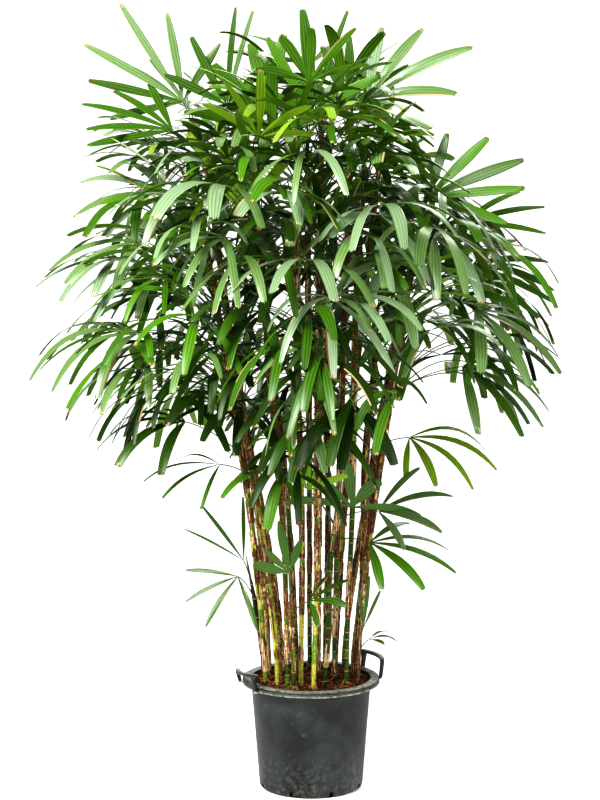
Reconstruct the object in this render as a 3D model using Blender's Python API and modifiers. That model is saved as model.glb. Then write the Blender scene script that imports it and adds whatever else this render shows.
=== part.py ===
"""Lady palm in a round nursery pot: a clump of canes, their crowns of fan leaves, soil, pot and handles.

Units are metres, +Z is up, and the origin is at the centre of the pot's flat underside.
"""
import math
import random

import bmesh
import bpy
from mathutils import Vector
from mathutils.bvhtree import BVHTree

# Clearance kept between pieces that rest on each other
SEAT_GAP = 0.0003
UP = Vector((0.0, 0.0, 1.0))

# Pot: a 30 litre container with a folded rim
POT_SIDES = 36
POT_HEIGHT = 0.323
RIM_RADIUS = 0.200
RIM_SKIRT = 0.016
RIM_INNER_RADIUS = 0.173
BODY_TOP_RADIUS = 0.1745
BASE_RADIUS = 0.151
BASE_CORNER = 0.011
WALL = 0.003
FLOOR = 0.005
DRAIN_SLOTS = 8
DRAIN_SLOT_SIZE = (0.024, 0.016, 0.009)

# Soil fills the pot to just under the rim
SOIL_TOP = 0.315

# Handles stand outside the rim, on opposite sides
HANDLE_THICKNESS = 0.011
HANDLE_SPAN = 40.0
HANDLE_FOOT_DROP = 0.026
HANDLE_CORNER = 0.012
HANDLES = (
    ("handle_left", 180.0, 0.030, 0.008),
    ("handle_right", 0.0, 0.046, 0.002),
)

# Canes: foot x and y, head x, y and z, leaf count, length of leafy top, bark
CANES = (
    ("fibre", -0.124, 0.040, -0.310, 0.060, 1.840, 6, 0.42),
    ("green", -0.041, 0.102, -0.190, 0.235, 1.830, 6, 0.40),
    ("green", -0.003, 0.130, -0.010, 0.300, 1.900, 6, 0.46),
    ("fibre", 0.020, 0.066, 0.030, 0.080, 1.980, 7, 0.46),
    ("yellow", -0.029, -0.093, -0.040, -0.200, 1.900, 6, 0.44),
    ("green", 0.102, -0.072, 0.145, -0.160, 1.800, 6, 0.40),
    ("green", 0.068, -0.008, 0.115, 0.000, 1.930, 6, 0.38),
    ("fibre", 0.073, 0.120, 0.205, 0.270, 1.820, 6, 0.44),
    ("yellow", 0.126, 0.072, 0.330, 0.060, 1.700, 6, 0.40),
    ("green", -0.067, -0.105, -0.150, -0.235, 1.740, 6, 0.42),
    ("yellow", -0.132, -0.050, -0.300, -0.130, 1.620, 8, 0.50),
    ("yellow", -0.097, -0.082, -0.235, -0.180, 1.390, 6, 0.40),
    ("yellow", 0.007, -0.126, 0.040, -0.290, 1.540, 6, 0.42),
    ("green", 0.043, 0.140, 0.060, 0.330, 1.560, 6, 0.40),
    ("fibre", 0.098, 0.100, 0.300, 0.200, 1.480, 6, 0.38),
    ("fibre", 0.132, -0.038, 0.270, -0.140, 1.440, 6, 0.38),
    ("fibre", -0.083, 0.078, -0.290, 0.190, 1.430, 7, 0.42),
    ("fibre", 0.136, 0.030, 0.190, 0.040, 1.340, 4, 0.38),
    ("fibre", -0.090, 0.010, -0.215, 0.010, 1.220, 6, 0.38),
    ("dark", -0.140, 0.074, -0.176, 0.040, 0.600, 0, 0.10),
    ("green", -0.050, -0.128, -0.058, -0.168, 0.600, 0, 0.10),
    ("green", 0.040, -0.070, 0.075, -0.110, 0.860, 3, 0.16),
)
CANE_BASE_RADIUS = 0.0080
CANE_TOP_RADIUS = 0.0105
SHAFT_TIP_RADIUS = 0.0048
CANE_COLLAR = 0.020
CANE_LEAN_POWER = 1.35
CANE_SWAY = 0.007
CANE_STEPS = 4
SHAFT_STEPS = 3
CUT_STRAIGHT = 0.012
BARK_COLOURS = {
    "fibre": "6B4A30",
    "green": "4A6B2C",
    "yellow": "9A9A45",
    "dark": "4A4038",
}

# Reach of the crown to the left and to the right at each height
CROWN_OUTLINE = (
    (0.420, 0.16, 0.16),
    (0.620, 0.34, 0.30),
    (0.720, 0.31, 0.42),
    (0.900, 0.40, 0.42),
    (1.000, 0.60, 0.45),
    (1.080, 0.72, 0.66),
    (1.200, 0.79, 0.71),
    (1.350, 0.76, 0.73),
    (1.550, 0.72, 0.73),
    (1.700, 0.67, 0.66),
    (1.820, 0.66, 0.58),
    (1.950, 0.63, 0.49),
    (2.100, 0.56, 0.33),
    (2.170, 0.46, 0.26),
    (2.210, 0.33, 0.14),
    (2.250, 0.24, 0.08),
)
CROWN_TOP = 2.266

# Leaf rule, each pair going from the oldest leaf of a cane to its youngest
CLUMP_SEED = 11
GOLDEN_ANGLE = 137.5
PETIOLE_LENGTH = (0.33, 0.15)
PETIOLE_RISE = (28.0, 74.0)
PETIOLE_ARCH = (34.0, 12.0)
PETIOLE_MIDDLE = 0.52
BLADE_DIP = (26.0, 4.0)
LEAFLET_LENGTH = (0.300, 0.235)
LEAFLET_WIDTH = (0.037, 0.030)
LEAFLET_SAG = (2.1, 0.35)
FAN_SPREAD = (112.0, 62.0)
SIDE_SHORTER = 0.26
SIDE_NARROWER = 0.20
LEAFLET_COUNT = (6, 5)
FULL_FAN_AGE = 0.55
OUTWARD_PULL = 0.70
LEAF_TRIES = 24
FIRST_STRAY = 12.0
NEXT_STRAY = 5.0
LEAF_ZONE = (0.93, 0.03)
FEWEST_LEAFLETS = 4

# Leaf solid
HUB_RADIUS = 0.016
HUB_RISE = 0.0012
KEEL_DEPTH = 0.0034
PETIOLE_THICKNESS = 0.0050
PETIOLE_NECK = 0.035
STRAIGHT_PETIOLE = 0.19
SAG_POWER = 1.6
LINE_STEPS = 12
DROOPING_BENDS = ((4, 0.86), (9, 1.0))
STIFF_BENDS = ((6, 1.0),)
STIFF_SAG = 1.35

# Leaves that stand out: cane, height on it, hub, heading, face, sag and the leaflets (turn, length, width)
MARKED_LEAVES = (
    (0, 1.80, (-0.366, 0.05, 1.985), (-0.60, 0.0, 0.80), (0.0, -1.0, 0.12), 0.06,
     ((-66, 0.20, 0.024), (-28, 0.26, 0.024), (-3, 0.335, 0.024), (21, 0.33, 0.024), (40, 0.28, 0.024),
      (64, 0.22, 0.022))),
    (0, 1.70, (-0.390, -0.06, 1.900), (-0.96, -0.1, 0.26), (0.0, -0.70, 0.70), 0.25,
     ((-60, 0.20, 0.028), (-34, 0.22, 0.028), (-11, 0.27, 0.028), (10, 0.25, 0.028), (32, 0.26, 0.026))),
    (6, 1.84, (0.160, -0.06, 1.990), (0.82, -0.05, 0.57), (0.0, -0.80, 0.60), 0.40,
     ((-62, 0.22, 0.034), (-28, 0.26, 0.036), (-2, 0.33, 0.038), (24, 0.26, 0.042), (54, 0.24, 0.034))),
    (8, 1.60, (0.330, -0.10, 1.714), (0.91, -0.05, 0.42), (0.0, -0.90, 0.44), 0.12,
     ((-44, 0.24, 0.030), (-20, 0.27, 0.032), (0, 0.285, 0.032), (24, 0.24, 0.030), (52, 0.20, 0.030),
      (84, 0.18, 0.028))),
    (8, 1.36, (0.462, 0.02, 1.520), (0.96, 0.0, -0.20), (0.1, -0.75, 0.66), 0.50,
     ((-54, 0.24, 0.024), (-31, 0.25, 0.026), (-11, 0.26, 0.026), (9, 0.26, 0.026), (30, 0.25, 0.026),
      (58, 0.20, 0.024))),
    (15, 1.18, (0.455, -0.16, 1.400), (0.86, -0.30, -0.30), (0.30, -0.45, 0.84), 1.50,
     ((-62, 0.26, 0.034), (-30, 0.30, 0.036), (2, 0.31, 0.038), (34, 0.30, 0.034), (66, 0.25, 0.030))),
    (17, 1.10, (0.430, -0.06, 1.235), (0.90, -0.15, -0.15), (0.10, -0.45, 0.89), 1.40,
     ((-72, 0.26, 0.030), (-40, 0.30, 0.032), (-12, 0.30, 0.034), (16, 0.30, 0.034), (48, 0.26, 0.030))),
    (17, 0.975, (0.285, 0.02, 1.022), (0.80, -0.10, 0.10), (0.05, -0.55, 0.83), 1.60,
     ((-98, 0.15, 0.020), (-62, 0.20, 0.022), (-32, 0.27, 0.024), (-6, 0.29, 0.022), (24, 0.26, 0.018))),
    (11, 1.16, (-0.490, -0.12, 1.330), (-0.98, -0.15, 0.20), (-0.10, -0.30, 0.95), 1.75,
     ((-58, 0.30, 0.030), (-26, 0.35, 0.032), (2, 0.365, 0.034), (30, 0.34, 0.034), (60, 0.30, 0.030))),
    (18, 0.94, (-0.360, -0.04, 1.075), (-0.93, -0.25, 0.12), (-0.10, -0.35, 0.93), 1.60,
     ((-70, 0.24, 0.028), (-36, 0.28, 0.030), (-6, 0.29, 0.030), (26, 0.28, 0.030), (60, 0.24, 0.028))),
    (18, 0.90, (-0.262, -0.03, 0.950), (-0.80, -0.45, -0.10), (-0.10, -0.40, 0.90), 1.10,
     ((-78, 0.20, 0.014), (-34, 0.24, 0.014), (6, 0.22, 0.016), (48, 0.20, 0.016))),
    (19, 0.585, (-0.196, 0.00, 0.665), (-0.60, -0.05, 0.80), (0.1, -0.98, 0.15), 0.06,
     ((-122, 0.17, 0.024), (-62, 0.16, 0.022), (-38, 0.19, 0.024), (-2, 0.20, 0.022), (20, 0.20, 0.014))),
    (19, 0.545, (-0.212, -0.02, 0.622), (-0.88, -0.20, -0.42), (0.0, -0.80, 0.60), 0.30,
     ((-42, 0.16, 0.022), (-8, 0.17, 0.022), (26, 0.18, 0.024), (84, 0.18, 0.026))),
    (20, 0.588, (-0.063, -0.19, 0.665), (-0.30, -0.10, 0.95), (0.2, -0.95, 0.25), 0.10,
     ((-40, 0.10, 0.022), (-8, 0.155, 0.026), (26, 0.10, 0.020), (56, 0.11, 0.034))),
    (20, 0.540, (-0.005, -0.22, 0.590), (0.75, -0.40, 0.35), (0.0, -0.55, 0.83), 0.60,
     ((-60, 0.12, 0.024), (-16, 0.14, 0.026), (28, 0.13, 0.026), (70, 0.11, 0.022))),
    (21, 0.74, (0.165, -0.16, 0.745), (0.92, -0.30, -0.05), (0.0, -0.50, 0.86), 0.80,
     ((-64, 0.18, 0.026), (-28, 0.24, 0.028), (2, 0.27, 0.024), (32, 0.24, 0.022), (66, 0.18, 0.022))),
    (12, 1.36, (-0.010, -0.420, 1.545), (-0.10, -0.96, 0.10), (0.0, -0.15, 0.98), 1.70,
     ((-82, 0.26, 0.034), (-48, 0.29, 0.036), (-14, 0.30, 0.038), (18, 0.30, 0.038), (52, 0.28, 0.036))),
    (5, 1.62, (0.180, -0.400, 1.690), (0.45, -0.86, 0.10), (0.0, -0.20, 0.97), 1.60,
     ((-84, 0.24, 0.030), (-48, 0.28, 0.034), (-12, 0.29, 0.036), (24, 0.28, 0.034), (62, 0.24, 0.030))),
    (9, 1.60, (-0.230, -0.430, 1.740), (-0.50, -0.84, 0.12), (0.0, -0.22, 0.97), 1.60,
     ((-84, 0.25, 0.034), (-48, 0.29, 0.038), (-12, 0.30, 0.040), (24, 0.29, 0.036), (62, 0.25, 0.032))),
    (10, 1.45, (-0.475, -0.08, 1.590), (-0.95, -0.15, 0.02), (-0.05, -0.35, 0.94), 1.30,
     ((-70, 0.24, 0.030), (-36, 0.28, 0.032), (-4, 0.29, 0.034), (28, 0.28, 0.032), (62, 0.24, 0.030))),
    (16, 1.28, (-0.470, 0.16, 1.430), (-0.96, 0.10, -0.02), (-0.05, -0.30, 0.95), 1.45,
     ((-68, 0.25, 0.032), (-34, 0.29, 0.034), (0, 0.30, 0.034), (34, 0.29, 0.034), (68, 0.25, 0.030))),
    (21, 0.80, (0.190, -0.13, 0.830), (0.85, -0.30, 0.30), (0.0, -0.75, 0.66), 0.60,
     ((-58, 0.16, 0.024), (-22, 0.22, 0.026), (12, 0.23, 0.024), (48, 0.18, 0.022))),
)


def linear(value):
    """One sRGB channel, 0 to 1, as linear light."""
    if value <= 0.04045:
        return value / 12.92
    return ((value + 0.055) / 1.055) ** 2.4


def make_material(name, colour, roughness, metallic=0.0):
    """A plain Principled material from an sRGB hex colour."""
    material = bpy.data.materials.new(name)
    material.use_nodes = True
    channels = [linear(int(colour[i:i + 2], 16) / 255.0) for i in (0, 2, 4)]
    shader = material.node_tree.nodes["Principled BSDF"]
    shader.inputs["Base Color"].default_value = (*channels, 1.0)
    shader.inputs["Roughness"].default_value = roughness
    shader.inputs["Metallic"].default_value = metallic
    material.diffuse_color = (*channels, 1.0)
    return material


def clear_scene():
    """Empty the scene that the file starts with."""
    for item in list(bpy.data.objects):
        bpy.data.objects.remove(item, do_unlink=True)


def new_collection(name):
    """A collection linked to the scene."""
    collection = bpy.data.collections.new(name)
    bpy.context.scene.collection.children.link(collection)
    return collection


def add_object(name, data, collection, material=None):
    """An object with its data, in a collection."""
    item = bpy.data.objects.new(name, data)
    collection.objects.link(item)
    if material:
        data.materials.append(material)
    return item


def mix(pair, share):
    """The value a share of the way from the first to the second."""
    return pair[0] + (pair[1] - pair[0]) * share


def polar(radius, degrees, height):
    """The point at a radius, an azimuth and a height."""
    angle = math.radians(degrees)
    return Vector((radius * math.cos(angle), radius * math.sin(angle), height))


def aim(azimuth, elevation):
    """The unit direction at an azimuth and an elevation in degrees."""
    flat = math.cos(math.radians(elevation))
    return Vector((
        flat * math.cos(math.radians(azimuth)),
        flat * math.sin(math.radians(azimuth)),
        math.sin(math.radians(elevation)),
    ))


def square_to(vector, axis):
    """The vector's part square to an axis, as a unit vector."""
    return (vector - axis * vector.dot(axis)).normalized()


# Pot and soil


def inner_radius(height):
    """The pot's inner radius at a height."""
    share = (height - FLOOR) / (POT_HEIGHT - RIM_SKIRT - FLOOR)
    return BASE_RADIUS - WALL + (BODY_TOP_RADIUS - BASE_RADIUS) * share


def turned(name, profile, collection, material):
    """A body turned about Z from a profile of (radius, height) points."""
    mesh = bpy.data.meshes.new(name)
    mesh.from_pydata(
        [(radius, 0.0, height) for radius, height in profile],
        [(i, i + 1) for i in range(len(profile) - 1)],
        [],
    )
    item = add_object(name, mesh, collection, material)
    screw = item.modifiers.new("Turn", "SCREW")
    screw.axis = "Z"
    screw.steps = POT_SIDES
    screw.render_steps = POT_SIDES
    screw.use_merge_vertices = True
    screw.merge_threshold = 0.00001
    screw.use_smooth_shade = False
    return item


def corner_arc(radius, height, size, steps):
    """A quarter round from a vertical wall down to the flat underside."""
    points = []
    for i in range(steps + 1):
        angle = math.pi / 2 * i / steps
        points.append((radius - size + size * math.cos(angle), height + size - size * math.sin(angle)))
    return points


def build_pot(collection, cutters, material):
    """The pot's shell with its folded rim and the drain slots round its foot."""
    lip_inner = inner_radius(POT_HEIGHT - RIM_SKIRT)
    skirt_foot = POT_HEIGHT - RIM_SKIRT
    flange_under = POT_HEIGHT - WALL
    profile = [
        (0.0, FLOOR),
        (inner_radius(FLOOR) - BASE_CORNER, FLOOR),
        (inner_radius(FLOOR + BASE_CORNER), FLOOR + BASE_CORNER),
        (lip_inner, skirt_foot),
        (RIM_INNER_RADIUS, POT_HEIGHT),
        (RIM_RADIUS - WALL, POT_HEIGHT),
        (RIM_RADIUS, POT_HEIGHT - WALL),
        (RIM_RADIUS, skirt_foot),
        (RIM_RADIUS - WALL, skirt_foot),
        (RIM_RADIUS - WALL, flange_under),
        (BODY_TOP_RADIUS + WALL, flange_under),
        (BODY_TOP_RADIUS, skirt_foot),
    ]
    profile += corner_arc(BASE_RADIUS, 0.0, BASE_CORNER, 2)
    profile.append((0.0, 0.0))
    pot = turned("pot", profile, collection, material)
    for i in range(DRAIN_SLOTS):
        azimuth = 360.0 * (i + 0.5) / DRAIN_SLOTS
        place = polar(BASE_RADIUS - WALL, azimuth, DRAIN_SLOT_SIZE[2] * 0.75)
        bpy.ops.mesh.primitive_cube_add(size=1.0, location=place, rotation=(0.0, 0.0, math.radians(azimuth)))
        slot = bpy.context.object
        slot.name = "drain_slot_cutter_%d" % (i + 1)
        slot.scale = DRAIN_SLOT_SIZE
        bpy.ops.object.transform_apply(location=False, rotation=False, scale=True)
        for holder in list(slot.users_collection):
            holder.objects.unlink(slot)
        cutters.objects.link(slot)
        slot.hide_render = True
        slot.display_type = "WIRE"
        cut = pot.modifiers.new("Drain slot %d" % (i + 1), "BOOLEAN")
        cut.operation = "DIFFERENCE"
        cut.object = slot
    return pot


def build_soil(collection, material):
    """The soil as one plug, clear of the pot's wall and floor."""
    low = FLOOR + BASE_CORNER
    profile = [
        (0.0, SOIL_TOP),
        (inner_radius(POT_HEIGHT - RIM_SKIRT) - 2 * SEAT_GAP, SOIL_TOP),
        (inner_radius(POT_HEIGHT - RIM_SKIRT) - 2 * SEAT_GAP, POT_HEIGHT - RIM_SKIRT),
        (inner_radius(low) - 2 * SEAT_GAP, low),
        (inner_radius(FLOOR) - BASE_CORNER - 2 * SEAT_GAP, FLOOR + SEAT_GAP),
        (0.0, FLOOR + SEAT_GAP),
    ]
    return turned("soil", profile, collection, material)


# Tubes


def tube_curve(name, points, radii, thickness, resolution, collection):
    """A curve object with filled caps through the points."""
    curve = bpy.data.curves.new(name, "CURVE")
    curve.dimensions = "3D"
    curve.bevel_depth = thickness / 2
    curve.bevel_resolution = resolution
    curve.use_fill_caps = True
    curve.twist_mode = "MINIMUM"
    spline = curve.splines.new("POLY")
    spline.points.add(len(points) - 1)
    for knot, point, radius in zip(spline.points, points, radii):
        knot.co = (*point, 1.0)
        knot.radius = radius
    return add_object(name, curve, collection)


def curve_to_mesh(item, collection, material=None):
    """The curve object's mesh with welded caps, as a new object in its place."""
    name = item.name
    graph = bpy.context.evaluated_depsgraph_get()
    mesh = bpy.data.meshes.new_from_object(item.evaluated_get(graph))
    place = item.matrix_world.copy()
    bpy.data.objects.remove(item, do_unlink=True)
    weld = bmesh.new()
    weld.from_mesh(mesh)
    bmesh.ops.remove_doubles(weld, verts=weld.verts, dist=0.00001)
    bmesh.ops.triangulate(weld, faces=weld.faces)
    bmesh.ops.recalc_face_normals(weld, faces=weld.faces)
    weld.to_mesh(mesh)
    weld.free()
    solid = add_object(name, mesh, collection, material)
    solid.name = name
    solid.matrix_world = place
    return solid


def handle_route(azimuth, rise, lean):
    """The line of a handle: up from its first foot, along the bar and down to its second foot."""
    foot_radius = RIM_RADIUS + HANDLE_THICKNESS / 2 + SEAT_GAP
    foot = POT_HEIGHT - HANDLE_FOOT_DROP
    bar = POT_HEIGHT + rise
    bar_radius = foot_radius + lean
    turn = math.degrees(HANDLE_CORNER / bar_radius)
    route = [
        polar(foot_radius, azimuth, foot),
        polar(foot_radius, azimuth, POT_HEIGHT),
        polar(bar_radius, azimuth, bar - HANDLE_CORNER),
        polar(bar_radius, azimuth + turn * 0.3, bar - HANDLE_CORNER * 0.3),
    ]
    bar_points = 6
    for i in range(bar_points):
        share = i / (bar_points - 1)
        route.append(polar(bar_radius, azimuth + turn + (HANDLE_SPAN - 2 * turn) * share, bar))
    route += [
        polar(bar_radius, azimuth + HANDLE_SPAN - turn * 0.3, bar - HANDLE_CORNER * 0.3),
        polar(bar_radius, azimuth + HANDLE_SPAN, bar - HANDLE_CORNER),
        polar(foot_radius, azimuth + HANDLE_SPAN, POT_HEIGHT),
        polar(foot_radius, azimuth + HANDLE_SPAN, foot),
    ]
    return route


def build_handle(name, azimuth, rise, lean, collection, material):
    """One handle loop outside the rim."""
    route = handle_route(azimuth, rise, lean)
    curve = tube_curve(name, route, [1.0] * len(route), HANDLE_THICKNESS, 2, collection)
    return curve_to_mesh(curve, collection, material)


# Canes


def cane_point(index, share):
    """The point of a cane's axis at a share of its height."""
    _, foot_x, foot_y, head_x, head_y, head_z, _, _ = CANES[index]
    low = SOIL_TOP + SEAT_GAP
    height = low + (head_z - low) * share
    rise = max(0.0, height - low - CANE_COLLAR) / (head_z - low - CANE_COLLAR)
    lean = rise ** CANE_LEAN_POWER
    phase = index * math.radians(GOLDEN_ANGLE)
    sway = CANE_SWAY * math.sin(math.pi * rise) * math.sin(2.2 * math.pi * rise + phase)
    return Vector((
        foot_x + (head_x - foot_x) * lean + sway * math.cos(phase),
        foot_y + (head_y - foot_y) * lean + sway * math.sin(phase),
        height,
    ))


def cane_share(index, height):
    """The share of a cane's height that lies at a height."""
    low = SOIL_TOP + SEAT_GAP
    return (height - low) / (CANES[index][5] - low)


def cut_share(index):
    """The share of a cane's height where its bare stem ends and its leafy shaft starts."""
    return cane_share(index, CANES[index][5] - CANES[index][7])


def cut_frame(index):
    """The point and the direction of the cut between bare stem and leafy shaft."""
    share = cut_share(index)
    step = 0.01
    along = cane_point(index, share + step) - cane_point(index, share - step)
    return cane_point(index, share), along.normalized()


def cane_route(index):
    """Points and relative radii of the bare stem, from its flat foot to its cut."""
    low = SOIL_TOP + SEAT_GAP
    point, along = cut_frame(index)
    shares = [0.0, CANE_COLLAR / (CANES[index][5] - low)]
    shares += [cut_share(index) * (i + 1) / (CANE_STEPS + 1) for i in range(CANE_STEPS)]
    shares = [share for share in shares if share < cut_share(index) - 0.03]
    route = [cane_point(index, share) for share in shares]
    radii = [mix((CANE_BASE_RADIUS, CANE_TOP_RADIUS), share / cut_share(index)) for share in shares]
    route += [point - along * CUT_STRAIGHT, point - along * SEAT_GAP / 2]
    radii += [CANE_TOP_RADIUS, CANE_TOP_RADIUS]
    return route, radii


def shaft_route(index):
    """Points and relative radii of the leafy shaft, from the cut to the cane's head."""
    point, along = cut_frame(index)
    start = cut_share(index)
    route = [point + along * SEAT_GAP / 2, point + along * CUT_STRAIGHT]
    radii = [CANE_TOP_RADIUS, CANE_TOP_RADIUS]
    for i in range(1, SHAFT_STEPS + 1):
        share = i / SHAFT_STEPS
        route.append(cane_point(index, start + (1.0 - start) * share))
        radii.append(mix((CANE_TOP_RADIUS, SHAFT_TIP_RADIUS), share))
    return route, radii


def shaft_point(index, height):
    """The point of a leafy shaft's axis at a height, on its straight pieces."""
    route, _ = shaft_route(index)
    low, high = route[0], route[1]
    for start, end in zip(route, route[1:]):
        low, high = start, end
        if height <= end.z:
            break
    return low.lerp(high, (height - low.z) / (high.z - low.z))


def build_stem(name, route, radii, collection, material=None):
    """A six-sided tapering stem."""
    widest = max(radii)
    curve = tube_curve(name, route, [radius / widest for radius in radii], 2 * widest, 1, collection)
    return curve_to_mesh(curve, collection, material)


# Leaves


def reach(height, azimuth):
    """How far the crown reaches from its axis at a height, towards an azimuth."""
    rows = CROWN_OUTLINE
    if height <= rows[0][0]:
        left, right = rows[0][1], rows[0][2]
    elif height >= rows[-1][0]:
        left, right = rows[-1][1], rows[-1][2]
    else:
        i = max(k for k in range(len(rows)) if rows[k][0] <= height)
        i = min(i, len(rows) - 2)
        share = (height - rows[i][0]) / (rows[i + 1][0] - rows[i][0])
        left = mix((rows[i][1], rows[i + 1][1]), share)
        right = mix((rows[i][2], rows[i + 1][2]), share)
    side = right if math.cos(azimuth) > 0 else left
    depth = (left + right) / 2
    return 1.0 / math.hypot(math.cos(azimuth) / side, math.sin(azimuth) / depth)


def inside_crown(point):
    """True where a point lies within the crown's outline."""
    if point.z > CROWN_TOP:
        return False
    return math.hypot(point.x, point.y) <= reach(point.z, math.atan2(point.y, point.x))


def leaflet_line(leaf, leaflet):
    """Points along a leaflet with the direction across it at each, from hub to tip."""
    turn = math.radians(leaflet[0])
    side = leaf["face"].cross(leaf["heading"])
    out = leaf["heading"] * math.cos(turn) + side * math.sin(turn)
    across = leaf["face"].cross(out)
    point = leaf["hub"] + out * HUB_RADIUS
    step = (leaflet[1] - HUB_RADIUS) / LINE_STEPS
    line = []
    for i in range(LINE_STEPS + 1):
        along = (out - UP * leaf["sag"] * (i / LINE_STEPS) ** SAG_POWER).normalized()
        line.append((point.copy(), square_to(across, along), along))
        point += along * step
    return line


def notches(leaf):
    """The points round the hub between the leaflets, one more than the leaflets."""
    turns = [leaflet[0] for leaflet in leaf["leaflets"]]
    edges = [(a + b) / 2 for a, b in zip(turns, turns[1:])]
    first = turns[0] - (turns[1] - turns[0]) / 2
    last = turns[-1] + (turns[-1] - turns[-2]) / 2
    side = leaf["face"].cross(leaf["heading"])
    points = []
    for turn in [first] + edges + [last]:
        angle = math.radians(turn)
        points.append(leaf["hub"] + (leaf["heading"] * math.cos(angle) + side * math.sin(angle)) * HUB_RADIUS)
    return points


def leaflet_triangles(leaf, number, ring):
    """The triangles of one leaflet: flat above, with a keel below."""
    leaflet = leaf["leaflets"][number]
    line = leaflet_line(leaf, leaflet)
    top = leaf["hub"] + leaf["face"] * HUB_RISE
    bottom = leaf["hub"] - leaf["face"] * KEEL_DEPTH
    left, right = ring[number + 1], ring[number]
    keel = bottom
    triangles = [(top, right, left)]
    bends = DROOPING_BENDS if leaf["sag"] > STIFF_SAG else STIFF_BENDS
    for bend, share in bends:
        point, across, along = line[bend]
        half = leaflet[2] / 2 * share
        new_left, new_right = point + across * half, point - across * half
        new_keel = point + across.cross(along) * KEEL_DEPTH
        triangles += [(left, right, new_right), (left, new_right, new_left)]
        triangles += [(keel, left, new_left), (keel, new_left, new_keel)]
        triangles += [(keel, new_keel, new_right), (keel, new_right, right)]
        left, right, keel = new_left, new_right, new_keel
    tip = line[-1][0]
    triangles += [(left, right, tip), (keel, left, tip), (keel, tip, right)]
    return triangles


def petiole_sections(leaf):
    """The three-sided sections of the petiole, from its neck behind the hub to its sunk foot."""
    hub, middle, foot = leaf["hub"], leaf["middle"], leaf["foot"]
    neck = hub + (middle - hub).normalized() * PETIOLE_NECK
    half = PETIOLE_THICKNESS / 2
    up = leaf["face"]
    sections = []
    stations = [(neck, hub - middle), (middle, hub - foot), (foot, middle - foot)]
    if (hub - foot).length < STRAIGHT_PETIOLE:
        stations.remove(stations[1])
    for point, along in stations:
        axis = along.normalized()
        up = square_to(up, axis)
        across = up.cross(axis)
        sections.append((point + (up - across) * half, point + (up + across) * half, point - up * half))
    return sections


def petiole_triangles(leaf, ring):
    """The triangles of the petiole, open where it meets the blade."""
    top = leaf["hub"] + leaf["face"] * HUB_RISE
    bottom = leaf["hub"] - leaf["face"] * KEEL_DEPTH
    sections = petiole_sections(leaf)
    first, last = ring[0], ring[-1]
    corners = sections[0]
    one, two, low = corners
    triangles = [(top, last, two), (top, two, one), (top, one, first)]
    triangles += [(first, one, low), (first, low, bottom), (last, bottom, low), (last, low, two)]
    for section in sections[1:]:
        for i in range(3):
            k = (i + 1) % 3
            triangles += [(corners[i], corners[k], section[k]), (corners[i], section[k], section[i])]
        corners = section
    triangles.append(corners)
    return triangles


def leaf_mesh(name, leaf):
    """The whole leaf as one closed mesh."""
    ring = notches(leaf)
    triangles = petiole_triangles(leaf, ring)
    for number in range(len(leaf["leaflets"])):
        triangles += leaflet_triangles(leaf, number, ring)
    solid = bmesh.new()
    for triangle in triangles:
        solid.faces.new([solid.verts.new(corner) for corner in triangle])
    bmesh.ops.remove_doubles(solid, verts=solid.verts, dist=0.00001)
    bmesh.ops.recalc_face_normals(solid, faces=solid.faces)
    mesh = bpy.data.meshes.new(name)
    solid.to_mesh(mesh)
    solid.free()
    return mesh


class Taken:
    """The space already taken by stems and leaves, with a quick test for touching."""

    def __init__(self):
        self.pieces = []

    @staticmethod
    def measure(triangles):
        """The corners of the box round some triangles."""
        corners = [corner for triangle in triangles for corner in triangle]
        low = [min(corner[i] for corner in corners) for i in range(3)]
        high = [max(corner[i] for corner in corners) for i in range(3)]
        return low, high

    @staticmethod
    def tree(triangles):
        """A search tree of some triangles."""
        corners = [corner for triangle in triangles for corner in triangle]
        faces = [(i, i + 1, i + 2) for i in range(0, len(corners), 3)]
        return BVHTree.FromPolygons(corners, faces)

    def add(self, owner, triangles):
        """Take the space of some triangles."""
        low, high = self.measure(triangles)
        self.pieces.append((owner, low, high, self.tree(triangles)))

    def touched(self, triangles, spared=None):
        """True where the triangles touch a piece, other than a spared owner's."""
        low, high = self.measure(triangles)
        tree = self.tree(triangles)
        for owner, piece_low, piece_high, piece_tree in self.pieces:
            if owner == spared:
                continue
            if any(low[i] > piece_high[i] or high[i] < piece_low[i] for i in range(3)):
                continue
            if tree.overlap(piece_tree):
                return True
        return False


def mesh_triangles(item):
    """An object's triangles as corner points."""
    return [tuple(item.data.vertices[i].co.copy() for i in face.vertices) for face in item.data.polygons]


def settle_leaf(leaf, owner, taken, fewest):
    """Drop the leaflets that touch something and take the leaf's space, or return None."""
    ring = notches(leaf)
    if taken.touched(petiole_triangles(leaf, ring), owner):
        return None
    kept = []
    for number, leaflet in enumerate(leaf["leaflets"]):
        if taken.touched(leaflet_triangles(leaf, number, ring)):
            continue
        kept.append(leaflet)
    if len(kept) < fewest:
        return None
    leaf["leaflets"] = kept
    ring = notches(leaf)
    whole = petiole_triangles(leaf, ring)
    blades = []
    for number in range(len(kept)):
        blades += leaflet_triangles(leaf, number, ring)
    if taken.touched(whole, owner) or taken.touched(blades):
        return None
    taken.add("leaf", whole + blades)
    return leaf


def marked_leaf(row):
    """A leaf that stands out, as its row states it."""
    index, height, hub, heading, face, sag, leaflets = row
    foot = shaft_point(index, height)
    hub = Vector(hub)
    heading = Vector(heading).normalized()
    span = (hub - foot).length
    return {
        "foot": foot,
        "middle": (foot + hub) / 2 + UP * span * 0.08,
        "hub": hub,
        "heading": heading,
        "face": square_to(Vector(face), heading),
        "sag": sag,
        "leaflets": list(leaflets),
    }


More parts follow.
